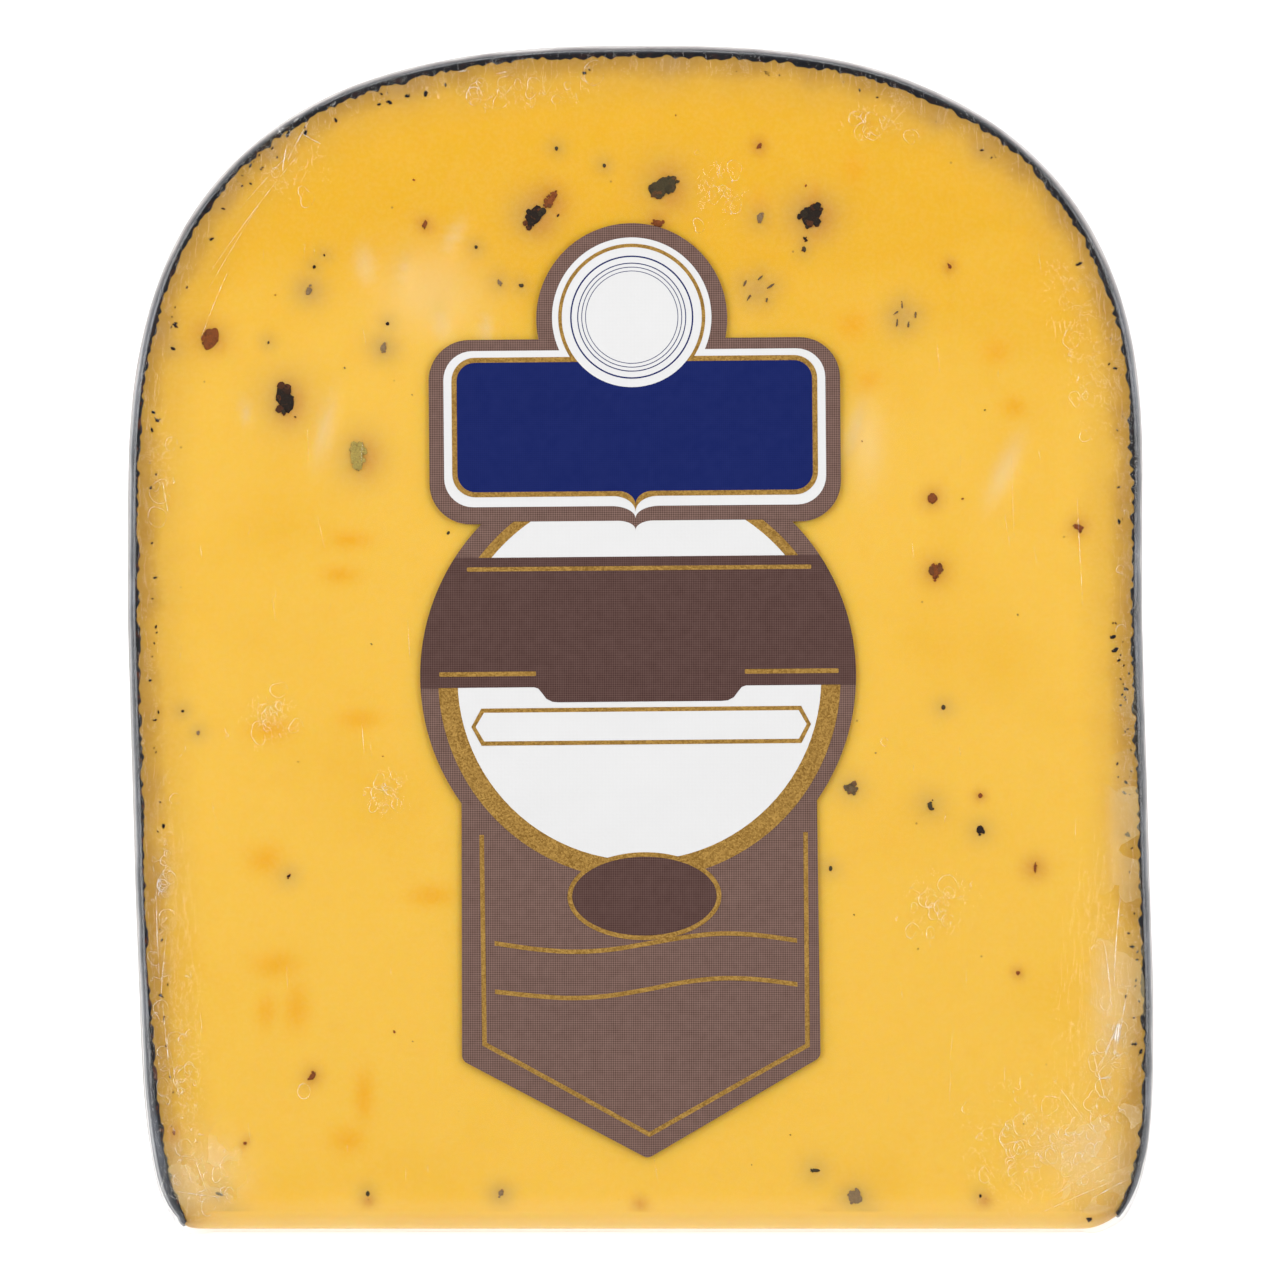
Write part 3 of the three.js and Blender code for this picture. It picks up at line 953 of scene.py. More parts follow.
# %% Values that the film's material reads
CRINKLED = [
    (-34.8, 118.0, 3.2, 3.6),
    (-13.0, 124.0, 6.5, 1.2),
    (-47.0, 88.0, 1.0, 3.5),
    (43.0, 104.0, 2.6, 3.4),
    (45.0, 97.5, 2.2, 5.0),
    (48.0, 89.0, 0.9, 3.6),
    (48.4, 76.0, 0.9, 6.0),
    (48.6, 60.0, 0.8, 10.0),
    (29.5, 44.0, 2.4, 2.4),
    (39.0, 20.5, 5.5, 4.5),
    (47.0, 26.0, 2.4, 10.0),
    (-46.5, 40.0, 1.0, 14.0),
    (-44.6, 26.0, 1.4, 6.0),
    (-43.0, 17.0, 3.0, 3.0),
    (-36.0, 62.0, 2.0, 2.0),
    (-24.5, 55.0, 1.6, 1.6),
    (24.0, 121.0, 3.0, 1.4),
    (8.0, 114.0, 2.0, 2.0),
]
film_all_side = film_rings[..., 0]
film_all_out = np.concatenate(
    [film_out, np.repeat(film_edge_out[None], len(film_sides), 0), under_out[::-1]]
)
crinkled = spots(film_all_side, film_all_out, CRINKLED)
film_rind_gap = distance_to_rind(film_all_side, film_all_out)
beside_rind = np.exp(-((film_rind_gap / 1.9) ** 2))
creased = np.maximum(
    spots(film_all_side, film_all_out, [(45.5, 26.0, 2.6, 14.0), (-45.5, 28.0, 1.6, 14.0)]),
    0.2 * beside_rind,
)


def patch(side, out, places):
    """Like spots, but with a flat top and a steeper edge."""
    return 1 - (1 - np.clip(1.6 * spots(side, out, places), 0, 1)) ** 2


veiled = patch(
    film_all_side,
    film_all_out,
    [
        (46.0, 19.0, 5.0, 5.5), (48.0, 33.0, 2.3, 10.0),
        (-43.5, 17.5, 3.4, 3.0), (47.8, 52.0, 1.2, 8.0),
    ],
)
film = make_piece(
    "clear_film",
    film_points,
    film_faces,
    "film",
    {
        "crinkled": np.append(crinkled.ravel(), [0, 0]),
        "creased": np.append(creased.ravel(), [0, 0]),
        "veiled": np.append(veiled.ravel(), [0, 0])
        * (np.arange(len(film_points)) < film_side.size),
        "dented": np.append(all_dents(film_all_side, film_all_out).ravel(), [0, 0])
        * (np.arange(len(film_points)) < film_side.size),
    },
)
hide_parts("shrink_film")

# %% [markdown]
# Shrunk film keeps sharp little marks: straight creases where it was stretched, squiggles where
# it buckled, and rings round trapped air. They are narrower than the film's grid, so each is a
# ridge of its own, a flat triangular profile carried along a line and capped. The long ones
# follow the rim and fan out of the corners; the small ones are strewn over the crinkled patches
# by seeded chance.


# %% Ridges in the film
def ridge(side, out, width, rise):
    """A triangle (left foot, crest, right foot, sunk keel) carried along a line of points."""
    along_side, along_out = np.gradient(side), np.gradient(out)
    size = np.hypot(along_side, along_out) + 1e-9
    across_side, across_out = along_out / size, -along_side / size
    taper = np.sin(np.linspace(0.05, math.pi - 0.05, len(side))) ** 0.6
    half = 0.36 * width * taper
    base = FILM_LIFT + 0.35 * np.minimum(face_relief(side, out) + 0.1, 0)
    rows = [
        on_upper(side + across_side * half, out + across_out * half, base - 0.004),
        on_upper(side, out, base + rise * taper),
        on_upper(side - across_side * half, out - across_out * half, base - 0.004),
        on_upper(side, out, base - 0.02),
    ]
    return carried_profile(np.stack(rows, axis=1))


def straight_mark(side, out, length, turn, bend, steps=18):
    """A line of some length through a point, turned from outwards and bent a little sideways."""
    angle, share = math.radians(turn), np.linspace(-0.5, 0.5, steps)
    along, aside = share * length, bend * length * (share**2 - 0.08)
    return (
        side - along * math.sin(angle) + aside * math.cos(angle),
        out + along * math.cos(angle) + aside * math.sin(angle),
    )


def squiggle(side, out, reach, seed, steps=34):
    """A short line that wanders: its direction changes by soft chance as it goes."""
    share = np.linspace(0, 1, steps)
    heading = 2.6 * wander(share * 6, 1.0, seed) + seed
    return (
        side + np.cumsum(np.cos(heading)) * reach / steps,
        out + np.cumsum(np.sin(heading)) * reach / steps,
    )


def ring_mark(side, out, radius, steps=30, uneven=0.0, seed=0):
    """Almost a whole circle, or an uneven loop whose radius wanders as it goes round."""
    turn = np.linspace(0, 2 * math.pi * 0.97, steps)
    reach = radius * (1 + uneven * wander(turn + seed, 1.2, seed))
    return side + reach * np.cos(turn), out + 1.2 * reach * np.sin(turn)


# %% Marks that are placed
LONG_MARKS = [
    (-37.6, 112.2, 15.0, -37, 0.05, 0.11),
    (-39.8, 108.5, 10.0, -31, 0.04, 0.08),
    (-36.4, 115.4, 8.0, -42, 0.03, 0.09),
    (-41.6, 103.0, 7.0, -22, 0.05, 0.12),
    (-33.4, 119.0, 4.5, -28, 0.05, 0.24),
    (-32.2, 119.3, 2.4, 60, 0.10, 0.20),
    (-34.7, 117.4, 2.8, -10, 0.10, 0.16),
    (-35.1, 120.0, 0.9, -45, 0.00, 0.30),
    (-33.6, 121.0, 0.7, -50, 0.00, 0.28),
    (-30.0, 122.6, 0.9, -60, 0.00, 0.26),
    (-25.7, 124.0, 1.6, -70, 0.00, 0.24),
    (-17.0, 125.9, 1.2, -82, 0.00, 0.26),
    (-13.4, 125.7, 1.1, -80, 0.00, 0.28),
    (43.4, 78.5, 11.0, 3, 0.01, 0.09),
    (36.8, 84.0, 8.0, 2, 0.01, 0.08),
    (47.0, 40.5, 9.0, -4, 0.05, 0.20),
    (46.2, 37.0, 7.0, 6, -0.06, 0.16),
    (47.6, 33.0, 6.0, -10, 0.04, 0.24),
    (47.0, 31.0, 3.6, -8, 0.05, 0.90),
    (46.4, 30.5, 4.5, -24, 0.05, 0.30),
    (45.2, 27.5, 6.0, 14, 0.04, 0.12),
    (43.0, 24.0, 7.5, 38, 0.05, 0.10),
    (44.2, 17.6, 8.0, -58, 0.05, 0.16),
    (42.8, 15.2, 8.5, -66, 0.03, 0.12),
    (46.5, 16.2, 4.0, -62, 0.05, 0.22),
    (-47.2, 41.5, 9.0, 2, 0.03, 0.16),
    (-46.6, 38.0, 7.0, -5, 0.04, 0.12),
    (-46.3, 30.5, 8.0, 6, 0.03, 0.12),
    (-45.4, 27.0, 6.0, 12, 0.03, 0.10),
    (-43.5, 15.6, 5.0, 82, 0.03, 0.18),
    (-42.9, 17.4, 4.5, 20, 0.05, 0.10),
    (-46.4, 84.0, 3.0, 10, 0.05, 0.16),
    (-27.0, 60.4, 3.2, 4, 0.02, 0.07),
    (-22.5, 70.0, 4.5, 3, 0.02, 0.06),
]
RINGS = [
    (-16.1, 123.4, 0.75), (-35.6, 115.9, 0.4), (-32.8, 25.7, 0.62),
    (-46.7, 45.9, 0.5), (-34.6, 120.4, 0.7), (24.2, 60.0, 0.35),
]
marks = [
    (straight_mark(s, o, length, turn, bend), width)
    for s, o, length, turn, bend, width in LONG_MARKS
]
marks += [(ring_mark(s, o, r), 0.17) for s, o, r in RINGS]

# %% Marks strewn over the crinkled patches
COAT_OUT = [13, 16, 24, 84, 100, 112, 120, 126]
COAT_SIDE = [43, 46, 47.6, 47.8, 42.6, 35.6, 26.5, 12]
chance = np.random.default_rng(91)
for patch_side, patch_out, patch_width, patch_length in CRINKLED:
    for _ in range(int(9 + 2.2 * patch_width * patch_length)):
        s = patch_side + 0.62 * patch_width * chance.normal()
        o = patch_out + 0.62 * patch_length * chance.normal()
        if abs(s) > np.interp(o, COAT_OUT, COAT_SIDE) or o < 14.5 or o > 126:
            continue
        if chance.random() < 0.6:
            seed = int(chance.integers(1000))
            marks.append((ring_mark(s, o, chance.uniform(0.2, 0.9), 22, 0.45, seed), 0.10))
        else:
            seed = int(chance.integers(1000))
            line = squiggle(s, o, chance.uniform(0.8, 2.6), seed, 20)
            marks.append((line, chance.uniform(0.05, 0.11)))
for _ in range(90):
    s, o = chance.uniform(-45, 45), chance.uniform(16, 112)
    if abs(s) > 21.5 or o < 19:
        turn = chance.uniform(-12, 12)
        marks.append((straight_mark(s, o, chance.uniform(0.8, 4.0), turn, 0.02, 8), 0.045))
ridges = [ridge(*line, width, 0.35 * width) for line, width in marks]
wrinkles = make_piece("film_wrinkles", *joined(ridges), "film")
print("marks in the film:", len(marks))

# %% [markdown]
# ## The label
#
# The label is one sheet of paper, die-cut round a seal, a name plate, a large disc and a
# pennant, and printed with flat fields inside gold lines. Painting that with a pattern would
# blur its edges, so each field is a real shape, at most about a tenth of a millimetre thick,
# over the one below. A ring of gold is then a gold disc under a slightly smaller disc of
# another colour. The wording and pictures such labels carry are left out: the fields stay bare,
# and the seal holds only plain rings.


# %% Lines and arcs for the label
def arc(side, out, radius, start, end, steps=28, flat=1.0):
    """Points on a circle from one angle to another, in degrees, flattened upwards by flat."""
    angle = np.radians(np.linspace(start, end, steps))
    return np.stack([side + radius * np.cos(angle), out + flat * radius * np.sin(angle)], -1)


def rounded_box(left, right, low, high, corner):
    """A rectangle with four round corners, anticlockwise."""
    return np.concatenate(
        [
            arc(right - corner, low + corner, corner, -90, 0, 10),
            arc(right - corner, high - corner, corner, 0, 90, 10),
            arc(left + corner, high - corner, corner, 90, 180, 10),
            arc(left + corner, low + corner, corner, 180, 270, 10),
        ]
    )


def strip(side, out, width):
    """A closed ribbon of constant width along a line of points."""
    slope = np.gradient(out) / np.gradient(side)
    half = width / 2 * np.sqrt(1 + slope**2)
    lower, upper = np.stack([side, out - half], -1), np.stack([side, out + half], -1)
    return np.concatenate([lower, upper[::-1]])


def cut_disc(side, out, radius, low, high):
    """The part of a disc between two level lines."""
    start, end = (math.degrees(math.asin((v - out) / radius)) for v in (low, high))
    right = arc(side, out, radius, start, end, 24)
    left = arc(side, out, radius, 180 - end, 180 - start, 24)
    return np.concatenate([right, left])


# %% [markdown]
# The plate's lower edge has a small double curve that comes to a point in the middle, the kind
# of bracket that sign painters like. It is drawn once and added to the plate at three sizes.


# %% The plate with its bracket
PLATE_MIDDLE = -0.1


def bracket(low, half, drop):
    """Two quarter rounds, each half wide, that meet in a point drop below the lower edge."""
    share = np.linspace(-1, 1, 49)
    share = np.sign(share) * np.abs(share) ** 1.5
    fall = drop * (1 - np.sqrt(np.clip(1 - (1 - np.abs(share)) ** 2, 0, 1)))
    return np.stack([PLATE_MIDDLE + half * share, low - fall], -1)


def plate(half, low, high, corner, point_half, drop):
    """The name plate: a rounded box whose lower edge carries the bracket."""
    box = rounded_box(PLATE_MIDDLE - half, PLATE_MIDDLE + half, low, high, corner)
    return np.concatenate([bracket(low, point_half, drop), box])


# %% [markdown]
# Now the fields from the bottom up. Each entry is a shape, the ink that prints it, and its
# layer. The sheet itself follows the frame's label: the same seal, plate, disc and pennant.

# %% The sheet
SEAL = (-0.3, 101.55)
DISC = (0.02, 66.5)


def sheet_outline():
    """The die-cut edge: pennant tip and side, disc, plate, seal, then back down the left."""
    seal_r, disc_r, corner = 9.38, 21.4, 4.0
    half, low, high = 20.2, 81.5, 99.6
    wide, shoulder_out, tip_out = 17.45, 28.7, 19.25
    meets_pennant = math.degrees(math.acos(wide / disc_r))
    meets_plate = math.degrees(math.asin((low - DISC[1]) / disc_r))
    meets_seal = math.degrees(math.asin((high - SEAL[1]) / seal_r))
    m = PLATE_MIDDLE
    tip = arc(0.55, tip_out + 0.75, 0.8, 242, 298, 8)
    right = [
        arc(wide - 0.75, shoulder_out + 0.7, 0.9, 298, 360, 8),
        arc(DISC[0], DISC[1], disc_r, -meets_pennant, meets_plate, 60),
        arc(m + half - corner, low + corner, corner, -90, 0, 14),
        arc(m + half - corner, high - corner, corner, 0, 90, 14),
    ]
    left = [
        arc(m - half + corner, high - corner, corner, 90, 180, 14),
        arc(m - half + corner, low + corner, corner, 180, 270, 14),
        arc(DISC[0], DISC[1], disc_r, 180 - meets_plate, 180 + meets_pennant, 60),
        arc(-wide + 0.75, shoulder_out + 0.7, 0.9, 180, 242, 8),
    ]
    top = arc(SEAL[0], SEAL[1], seal_r, meets_seal, 180 - meets_seal, 50)
    return np.concatenate([tip, *right, top, *left])


print("points round the label:", len(sheet_outline()))

# %% The printed fields
wave_side = np.linspace(-14.3, 15.4, 60)
wave_share = np.linspace(0, 1, 60)
first_wave = np.interp(wave_share, np.linspace(0, 1, 9),
                       [40.35, 39.75, 39.40, 39.55, 40.15, 40.80, 41.18, 40.95, 40.35])
second_wave = np.interp(wave_share, np.linspace(0, 1, 9),
                        [35.60, 35.15, 34.85, 35.05, 35.65, 36.40, 36.78, 36.60, 36.05])
smooth = np.ones(7) / 7
first_wave[3:-3] = np.convolve(first_wave, smooth, "valid")
second_wave[3:-3] = np.convolve(second_wave, smooth, "valid")


def circle(middle, radius):
    """A whole circle round the seal's middle, a touch above it as it was printed."""
    return arc(middle[0], middle[1] + 0.15, radius, 0, 360, 97)[:-1]


def lozenge(grow):
    """The banner with pointed ends, made larger or smaller by grow."""
    low, high = 59.75 - grow, 63.4 + grow
    return np.array(
        [
            (-15.4 - grow * 0.6, low), (16.0 + grow * 0.6, low), (16.95 + grow, 61.6),
            (16.0 + grow * 0.6, high), (-15.4 - grow * 0.6, high), (-16.4 - grow, 61.6),
        ]
    )


def pennant(grow):
    """The gold line's outline down the pennant and to its point."""
    return np.array(
        [
            (-15.25 - grow, 51.0), (-15.15 - grow, 30.6 - grow * 0.62),
            (0.75, 21.7 - grow * 1.14), (16.1 + grow, 30.2 - grow * 0.62), (16.1 + grow, 51.0),
        ]
    )


FIELDS = [
    (pennant(0.45), "gold", 1),
    (pennant(0.0), "taupe", 2),
    (arc(0.14, 66.2, 19.75, 0, 360, 161)[:-1], "gold", 3),
    (cut_disc(0.14, 66.2, 17.85, 48.4, 66.0), "white", 4),
    (cut_disc(0.14, 66.2, 18.75, 78.1, 82.4), "white", 4),
]
FIELDS += [
    (plate(20.15, 81.72, 99.5, 3.9, 1.75, 0.92), "taupe", 5),
    (circle(SEAL, 7.83), "white", 6),
    (plate(18.75, 83.17, 98.5, 2.85, 2.4, 1.22), "white", 7),
    (circle(SEAL, 7.22), "gold", 8),
    (plate(17.96, 84.14, 97.85, 2.3, 2.2, 1.55), "gold", 9),
    (plate(17.45, 84.64, 97.35, 1.8, 1.7, 1.35), "navy", 10),
    (circle(SEAL, 6.87), "white", 11),
    (circle(SEAL, 6.05), "navy", 12),
    (circle(SEAL, 5.90), "white", 13),
    (circle(SEAL, 5.35), "navy", 14),
    (circle(SEAL, 5.25), "white", 15),
    (circle(SEAL, 4.95), "navy", 16),
    (circle(SEAL, 4.87), "white", 17),
    (circle(SEAL, 4.57), "navy", 18),
    (circle(SEAL, 4.50), "white", 19),
]
print("printed fields so far:", len(FIELDS))

# %% [markdown]
# The brown band holds two gold rules and drops a tab over the white field. Below are an
# outlined banner, an outlined oval, and two waving gold lines, all with nothing written in
# them.

# %% Rules, tab, banner, oval and waves
half_tab = np.array(
    [(10.6, 65.45), (10.2, 65.32), (9.85, 64.9), (9.4, 64.3), (8.8, 64.0), (8.2, 63.95)]
)
tab = np.concatenate([half_tab * [-1, 1] + [0.4, 0], half_tab[::-1]])
band = np.concatenate([cut_disc(0.02, 66.5, 21.4, 65.45, 78.2), tab])
oval_low = arc(0.45, 44.85, 7.56, 0, 360, 97, 0.57)[:-1]
oval = arc(0.45, 44.85, 7.10, 0, 360, 97, 0.545)[:-1]
FIELDS += [
    (band, "brown", 6),
    (rounded_box(-16.7, 17.1, 76.85, 77.27, 0.1), "gold", 7),
    (rounded_box(-19.5, -10.0, 66.55, 67.0, 0.1), "gold", 7),
    (rounded_box(10.5, 19.7, 66.6, 67.05, 0.1), "gold", 7),
    (lozenge(0.0), "gold", 7),
    (lozenge(-0.42), "white", 8),
    (oval_low, "gold", 7),
    (oval, "brown", 8),
    (strip(wave_side, first_wave, 0.44), "gold", 4),
    (strip(wave_side, second_wave, 0.44), "gold", 4),
]
print("printed fields:", len(FIELDS))

# %% [markdown]
# Each field becomes a closed slab: the shape on top, the same shape turned over below, and
# walls between. The whole label was stuck on half a degree askew. Its mesh is flat, and the
# faint waviness of the film beneath it shows only in the bump of its inks.

# %% Build the label
LABEL_LOW = 0.20
LABEL_TOP = 0.28
INK_STEP = 0.006
LABEL_TURN = math.radians(0.5)
INKS = ["taupe", "white", "gold", "navy", "brown"]


def slab(shape, low, high):
    """A closed slab on the upper face between two heights, from an anticlockwise shape."""
    turned_side = shape[:, 0] * math.cos(LABEL_TURN) - (shape[:, 1] - 66) * math.sin(LABEL_TURN)
    turned_out = 66 + shape[:, 0] * math.sin(LABEL_TURN) + (shape[:, 1] - 66) * math.cos(LABEL_TURN)
    count = len(shape)
    top = on_upper(turned_side, turned_out, high + 0 * turned_side)
    bottom = on_upper(turned_side, turned_out, low + 0 * turned_side)
    here, beside = np.arange(count), (np.arange(count) + 1) % count
    walls = np.stack([here, here + count, beside + count, beside], -1)
    caps = [list(range(count)), list(range(2 * count - 1, count - 1, -1))]
    return np.concatenate([top, bottom]), caps + walls.tolist()


def without_doubles(shape):
    """The shape with points that repeat their neighbour taken out."""
    apart = np.hypot(*(shape - np.roll(shape, 1, axis=0)).T) > 0.004
    return shape[apart]


slabs, inks = [], []
for shape, ink, layer in [(sheet_outline(), "taupe", 0)] + FIELDS:
    low = LABEL_LOW if layer == 0 else LABEL_TOP - 0.02
    slabs.append(slab(without_doubles(shape), low, LABEL_TOP + INK_STEP * layer))
    inks += [INKS.index(ink)] * len(slabs[-1][1])
label = make_piece("paper_label", *joined(slabs), "label", smooth=False)
label.data.polygons.foreach_set("material_index", np.array(inks, np.int32))
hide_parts("front_label")

# %% [markdown]
# ## Nodes in a few words
#
# Materials are built from nodes, and a helper keeps that readable: it adds a node, sets plain
# values and links sockets in one call. Every pattern reads the same coordinates, which are the
# object's own, turned to lie in the upper cut face and measured in millimetres from the wheel's
# axis.


# %% Helpers for nodes
def add(tree, kind, inputs=None, **settings):
    """Adds a node, applies its settings, and sets or links each input."""
    made = tree.nodes.new(kind)
    for name, value in settings.items():
        setattr(made, name, value)
    for name, value in (inputs or {}).items():
        if isinstance(value, bpy.types.NodeSocket):
            tree.links.new(value, made.inputs[name])
        else:
            made.inputs[name].default_value = value
    return made


def math_node(tree, operation, first, second=0.0, third=0.0):
    """One arithmetic step; returns its result."""
    inputs = {0: first, 1: second}
    if operation == "MULTIPLY_ADD":
        inputs[2] = third
    return add(tree, "ShaderNodeMath", inputs, operation=operation).outputs[0]


def times(tree, first, second):
    """The product of two values."""
    return math_node(tree, "MULTIPLY", first, second)


def times_plus(tree, first, second, third):
    """First times second, plus third."""
    return math_node(tree, "MULTIPLY_ADD", first, second, third)


def bumped(tree, height, strength, distance):
    """The normal, tipped by a height."""
    inputs = {"Height": height, "Strength": strength, "Distance": distance}
    return add(tree, "ShaderNodeBump", inputs).outputs[0]


def blend_colour(tree, share, below, above, how="MIX"):
    """Two colours mixed by a share from 0 to 1."""
    made = add(tree, "ShaderNodeMix", data_type="RGBA", blend_type=how, clamp_factor=True)
    for name, value in (("Factor_Float", share), ("A_Color", below), ("B_Color", above)):
        socket = next(s for s in made.inputs if s.identifier == name)
        if isinstance(value, bpy.types.NodeSocket):
            tree.links.new(value, socket)
        else:
            socket.default_value = value if name == "Factor_Float" else (*value, 1.0)
    return next(s for s in made.outputs if s.identifier == "Result_Color")


def between(tree, value, low, high, from_value=0.0, to_value=1.0):
    """Maps low..high softly to from_value..to_value."""
    inputs = {"Value": value, "From Min": low, "From Max": high}
    inputs.update({"To Min": from_value, "To Max": to_value})
    return add(tree, "ShaderNodeMapRange", inputs, interpolation_type="SMOOTHSTEP").outputs[0]


def point_value(tree, name, output="Fac"):
    """A value painted on the mesh's points."""
    return add(tree, "ShaderNodeAttribute", attribute_name=name).outputs[output]


def noise(tree, vector, scale, detail=3.0, rough=0.5, stretch=None, output="Fac"):
    """Soft noise with scale waves per millimetre, pulled longer along any axis by stretch."""
    if stretch:
        vector = add(
            tree, "ShaderNodeVectorMath", {0: vector, 1: stretch}, operation="MULTIPLY"
        ).outputs[0]
    inputs = {"Vector": vector, "Scale": scale, "Detail": detail, "Roughness": rough}
    return add(tree, "ShaderNodeTexNoise", inputs).outputs[output]


def new_material(name):
    """An empty material and the face coordinates in it."""
    material = bpy.data.materials.new(name)
    material.use_nodes = True
    tree = material.node_tree
    tree.nodes.clear()
    own = add(tree, "ShaderNodeTexCoord").outputs["Object"]
    cos, sin = math.cos(CUT_ANGLE), math.sin(CUT_ANGLE)
    y, z = AXIS_Y, AXIS_Z
    turned = add(
        tree,
        "ShaderNodeMapping",
        {
            "Vector": own,
            "Scale": (1000, 1000, 1000),
            "Rotation": (-CUT_ANGLE, 0, 0),
            "Location": (0, -(y * cos + z * sin), y * sin - z * cos),
        },
    ).outputs[0]
    return material, tree, turned


def finish_material(tree, shader):
    """Joins the last shader to the output."""
    add(tree, "ShaderNodeOutputMaterial", {"Surface": shader})


# %% [markdown]
# ## Effects that several finishes share
#
# Three node groups. Grain is a fine unevenness for a Bump node. Specks are rare dark dots.
# Halftone is the print screen of the label's darker inks: two sets of fine lines crossing at a
# slant.


# %% Shared node groups
def new_group(name, inputs, outputs):
    """A node group with named sockets; returns it with its input and output nodes."""
    group = bpy.data.node_groups.new(name, "ShaderNodeTree")
    for socket_name, kind, value in inputs:
        socket = group.interface.new_socket(
            name=socket_name, in_out="INPUT", socket_type=kind
        )
        if value is not None:
            socket.default_value = value
    for socket_name, kind in outputs:
        group.interface.new_socket(name=socket_name, in_out="OUTPUT", socket_type=kind)
    return group, group.nodes.new("NodeGroupInput").outputs, group.nodes.new("NodeGroupOutput")


def use_group(tree, group, inputs):
    """A copy of a group in a material, with its inputs set."""
    return add(tree, "ShaderNodeGroup", inputs, node_tree=group).outputs


VECTOR, FLOAT = "NodeSocketVector", "NodeSocketFloat"
PI_ROOT_TWO = 4.443

grain_group, given, result = new_group(
    "surface_grain",
    [("Vector", VECTOR, None), ("Scale", FLOAT, 2.0), ("Amount", FLOAT, 0.5)],
    [("Height", FLOAT)],
)
fine_noise = noise(grain_group, given["Vector"], given["Scale"], 4.0, 0.6)
centred = math_node(grain_group, "SUBTRACT", fine_noise, 0.5)
height = times(grain_group, centred, given["Amount"])
grain_group.links.new(height, result.inputs["Height"])

speck_group, given, result = new_group(
    "rare_specks",
    [("Vector", VECTOR, None), ("Scale", FLOAT, 0.4), ("Size", FLOAT, 0.1), ("Share", FLOAT, 0.2)],
    [("Mask", FLOAT)],
)
cell_inputs = {"Vector": given["Vector"], "Scale": given["Scale"]}
cells = add(speck_group, "ShaderNodeTexVoronoi", cell_inputs)
edge = math_node(speck_group, "SUBTRACT", given["Size"], cells.outputs["Distance"])
dot = between(speck_group, edge, 0.0, 0.04)
cell_colour = add(speck_group, "ShaderNodeSeparateColor", {"Color": cells.outputs["Color"]})
chosen = math_node(speck_group, "LESS_THAN", cell_colour.outputs[0], given["Share"])
mask = times(speck_group, dot, chosen)
speck_group.links.new(mask, result.inputs["Mask"])

halftone_group, given, result = new_group(
    "print_screen",
    [("Vector", VECTOR, None), ("Pitch", FLOAT, 0.34), ("Contrast", FLOAT, 1.0)],
    [("Mask", FLOAT)],
)
parts = add(halftone_group, "ShaderNodeSeparateXYZ", {0: given["Vector"]}).outputs
rising = math_node(halftone_group, "ADD", parts[0], parts[1])
falling = math_node(halftone_group, "SUBTRACT", parts[0], parts[1])
turns_per = math_node(halftone_group, "DIVIDE", PI_ROOT_TWO, given["Pitch"])
first_lines = math_node(halftone_group, "SINE", times(halftone_group, rising, turns_per))
second_lines = math_node(
    halftone_group, "SINE", times(halftone_group, falling, turns_per)
)
crossed = times(halftone_group, first_lines, second_lines)
spread = times(halftone_group, crossed, given["Contrast"])
mask = times_plus(halftone_group, spread, 0.5, 0.5)
halftone_group.links.new(mask, result.inputs["Mask"])
print("shared groups:", [g.name for g in (grain_group, speck_group, halftone_group)])

# %% [markdown]
# ## Paste finish
#
# Cheese is waxy: light goes in and comes out again nearby, so it needs subsurface scattering,
# with red travelling furthest. The colour starts from the distance to the rind, drifts between
# a lighter yellow and amber in broad soft patches, and then takes the painted spots, stains and
# specks. Of those, the pale patches are painted reflection of the loose film; the rest is the
# paste's own colour.

# %% Cheese
material, tree, face = new_material("ripe_cheese")
rind_gap_value = point_value(tree, "rind_gap")
broken = noise(tree, face, 0.22, 3.0, 0.55)
gap = times_plus(tree, math_node(tree, "SUBTRACT", broken, 0.5), 2.2, rind_gap_value)
YELLOW = (0.785, 0.482, 0.054)
AMBER = (0.74, 0.412, 0.012)
OCHRE = (0.64, 0.37, 0.045)
BESIDE_RIND = (0.39, 0.205, 0.030)
PALE = (0.80, 0.60, 0.30)
parts = add(tree, "ShaderNodeSeparateXYZ", {0: face}).outputs
broad = noise(tree, face, 0.045, 2.0, 0.5)
drift = math_node(tree, "ADD", broad, between(tree, parts[1], 88, 122, 0.0, 0.66))
colour = blend_colour(tree, between(tree, drift, 0.48, 0.92, 0.0, 0.95), YELLOW, AMBER)
fine_drift = noise(tree, face, 0.35, 3.0, 0.55)
colour = blend_colour(tree, between(tree, fine_drift, 0.52, 0.78, 0.0, 0.25), colour, AMBER)
colour = blend_colour(tree, between(tree, gap, 0.8, 7.0, 0.90, 0.0), colour, OCHRE)
colour = blend_colour(tree, between(tree, gap, 0.5, 3.4, 0.88, 0.0), colour, BESIDE_RIND)
# Of these painted values, pale is painted reflection of the loose film; amber, smoke and rust are
# the paste's own colour.
for painted, most, tint in (
    ("amber", 0.95, (0.76, 0.38, 0.005)),
    ("pale", 0.60, PALE),
    ("smoke", 0.62, (0.40, 0.245, 0.10)),
    ("rust", 0.55, (0.50, 0.17, 0.02)),
):
    colour = blend_colour(tree, times(tree, point_value(tree, painted), most), colour, tint)
curd = noise(tree, face, 2.2, 2.0, 0.6)
colour = blend_colour(tree, between(tree, curd, 0.35, 0.70, 0.0, 0.07), colour, PALE)
specks = use_group(
    tree, speck_group, {"Vector": face, "Scale": 0.33, "Size": 0.055, "Share": 0.22}
)["Mask"]
colour = blend_colour(tree, times(tree, specks, 0.6), colour, (0.22, 0.10, 0.03))
grain = use_group(tree, grain_group, {"Vector": face, "Scale": 1.6, "Amount": 0.5})["Height"]
bump = bumped(tree, grain, 0.12, 0.0002)
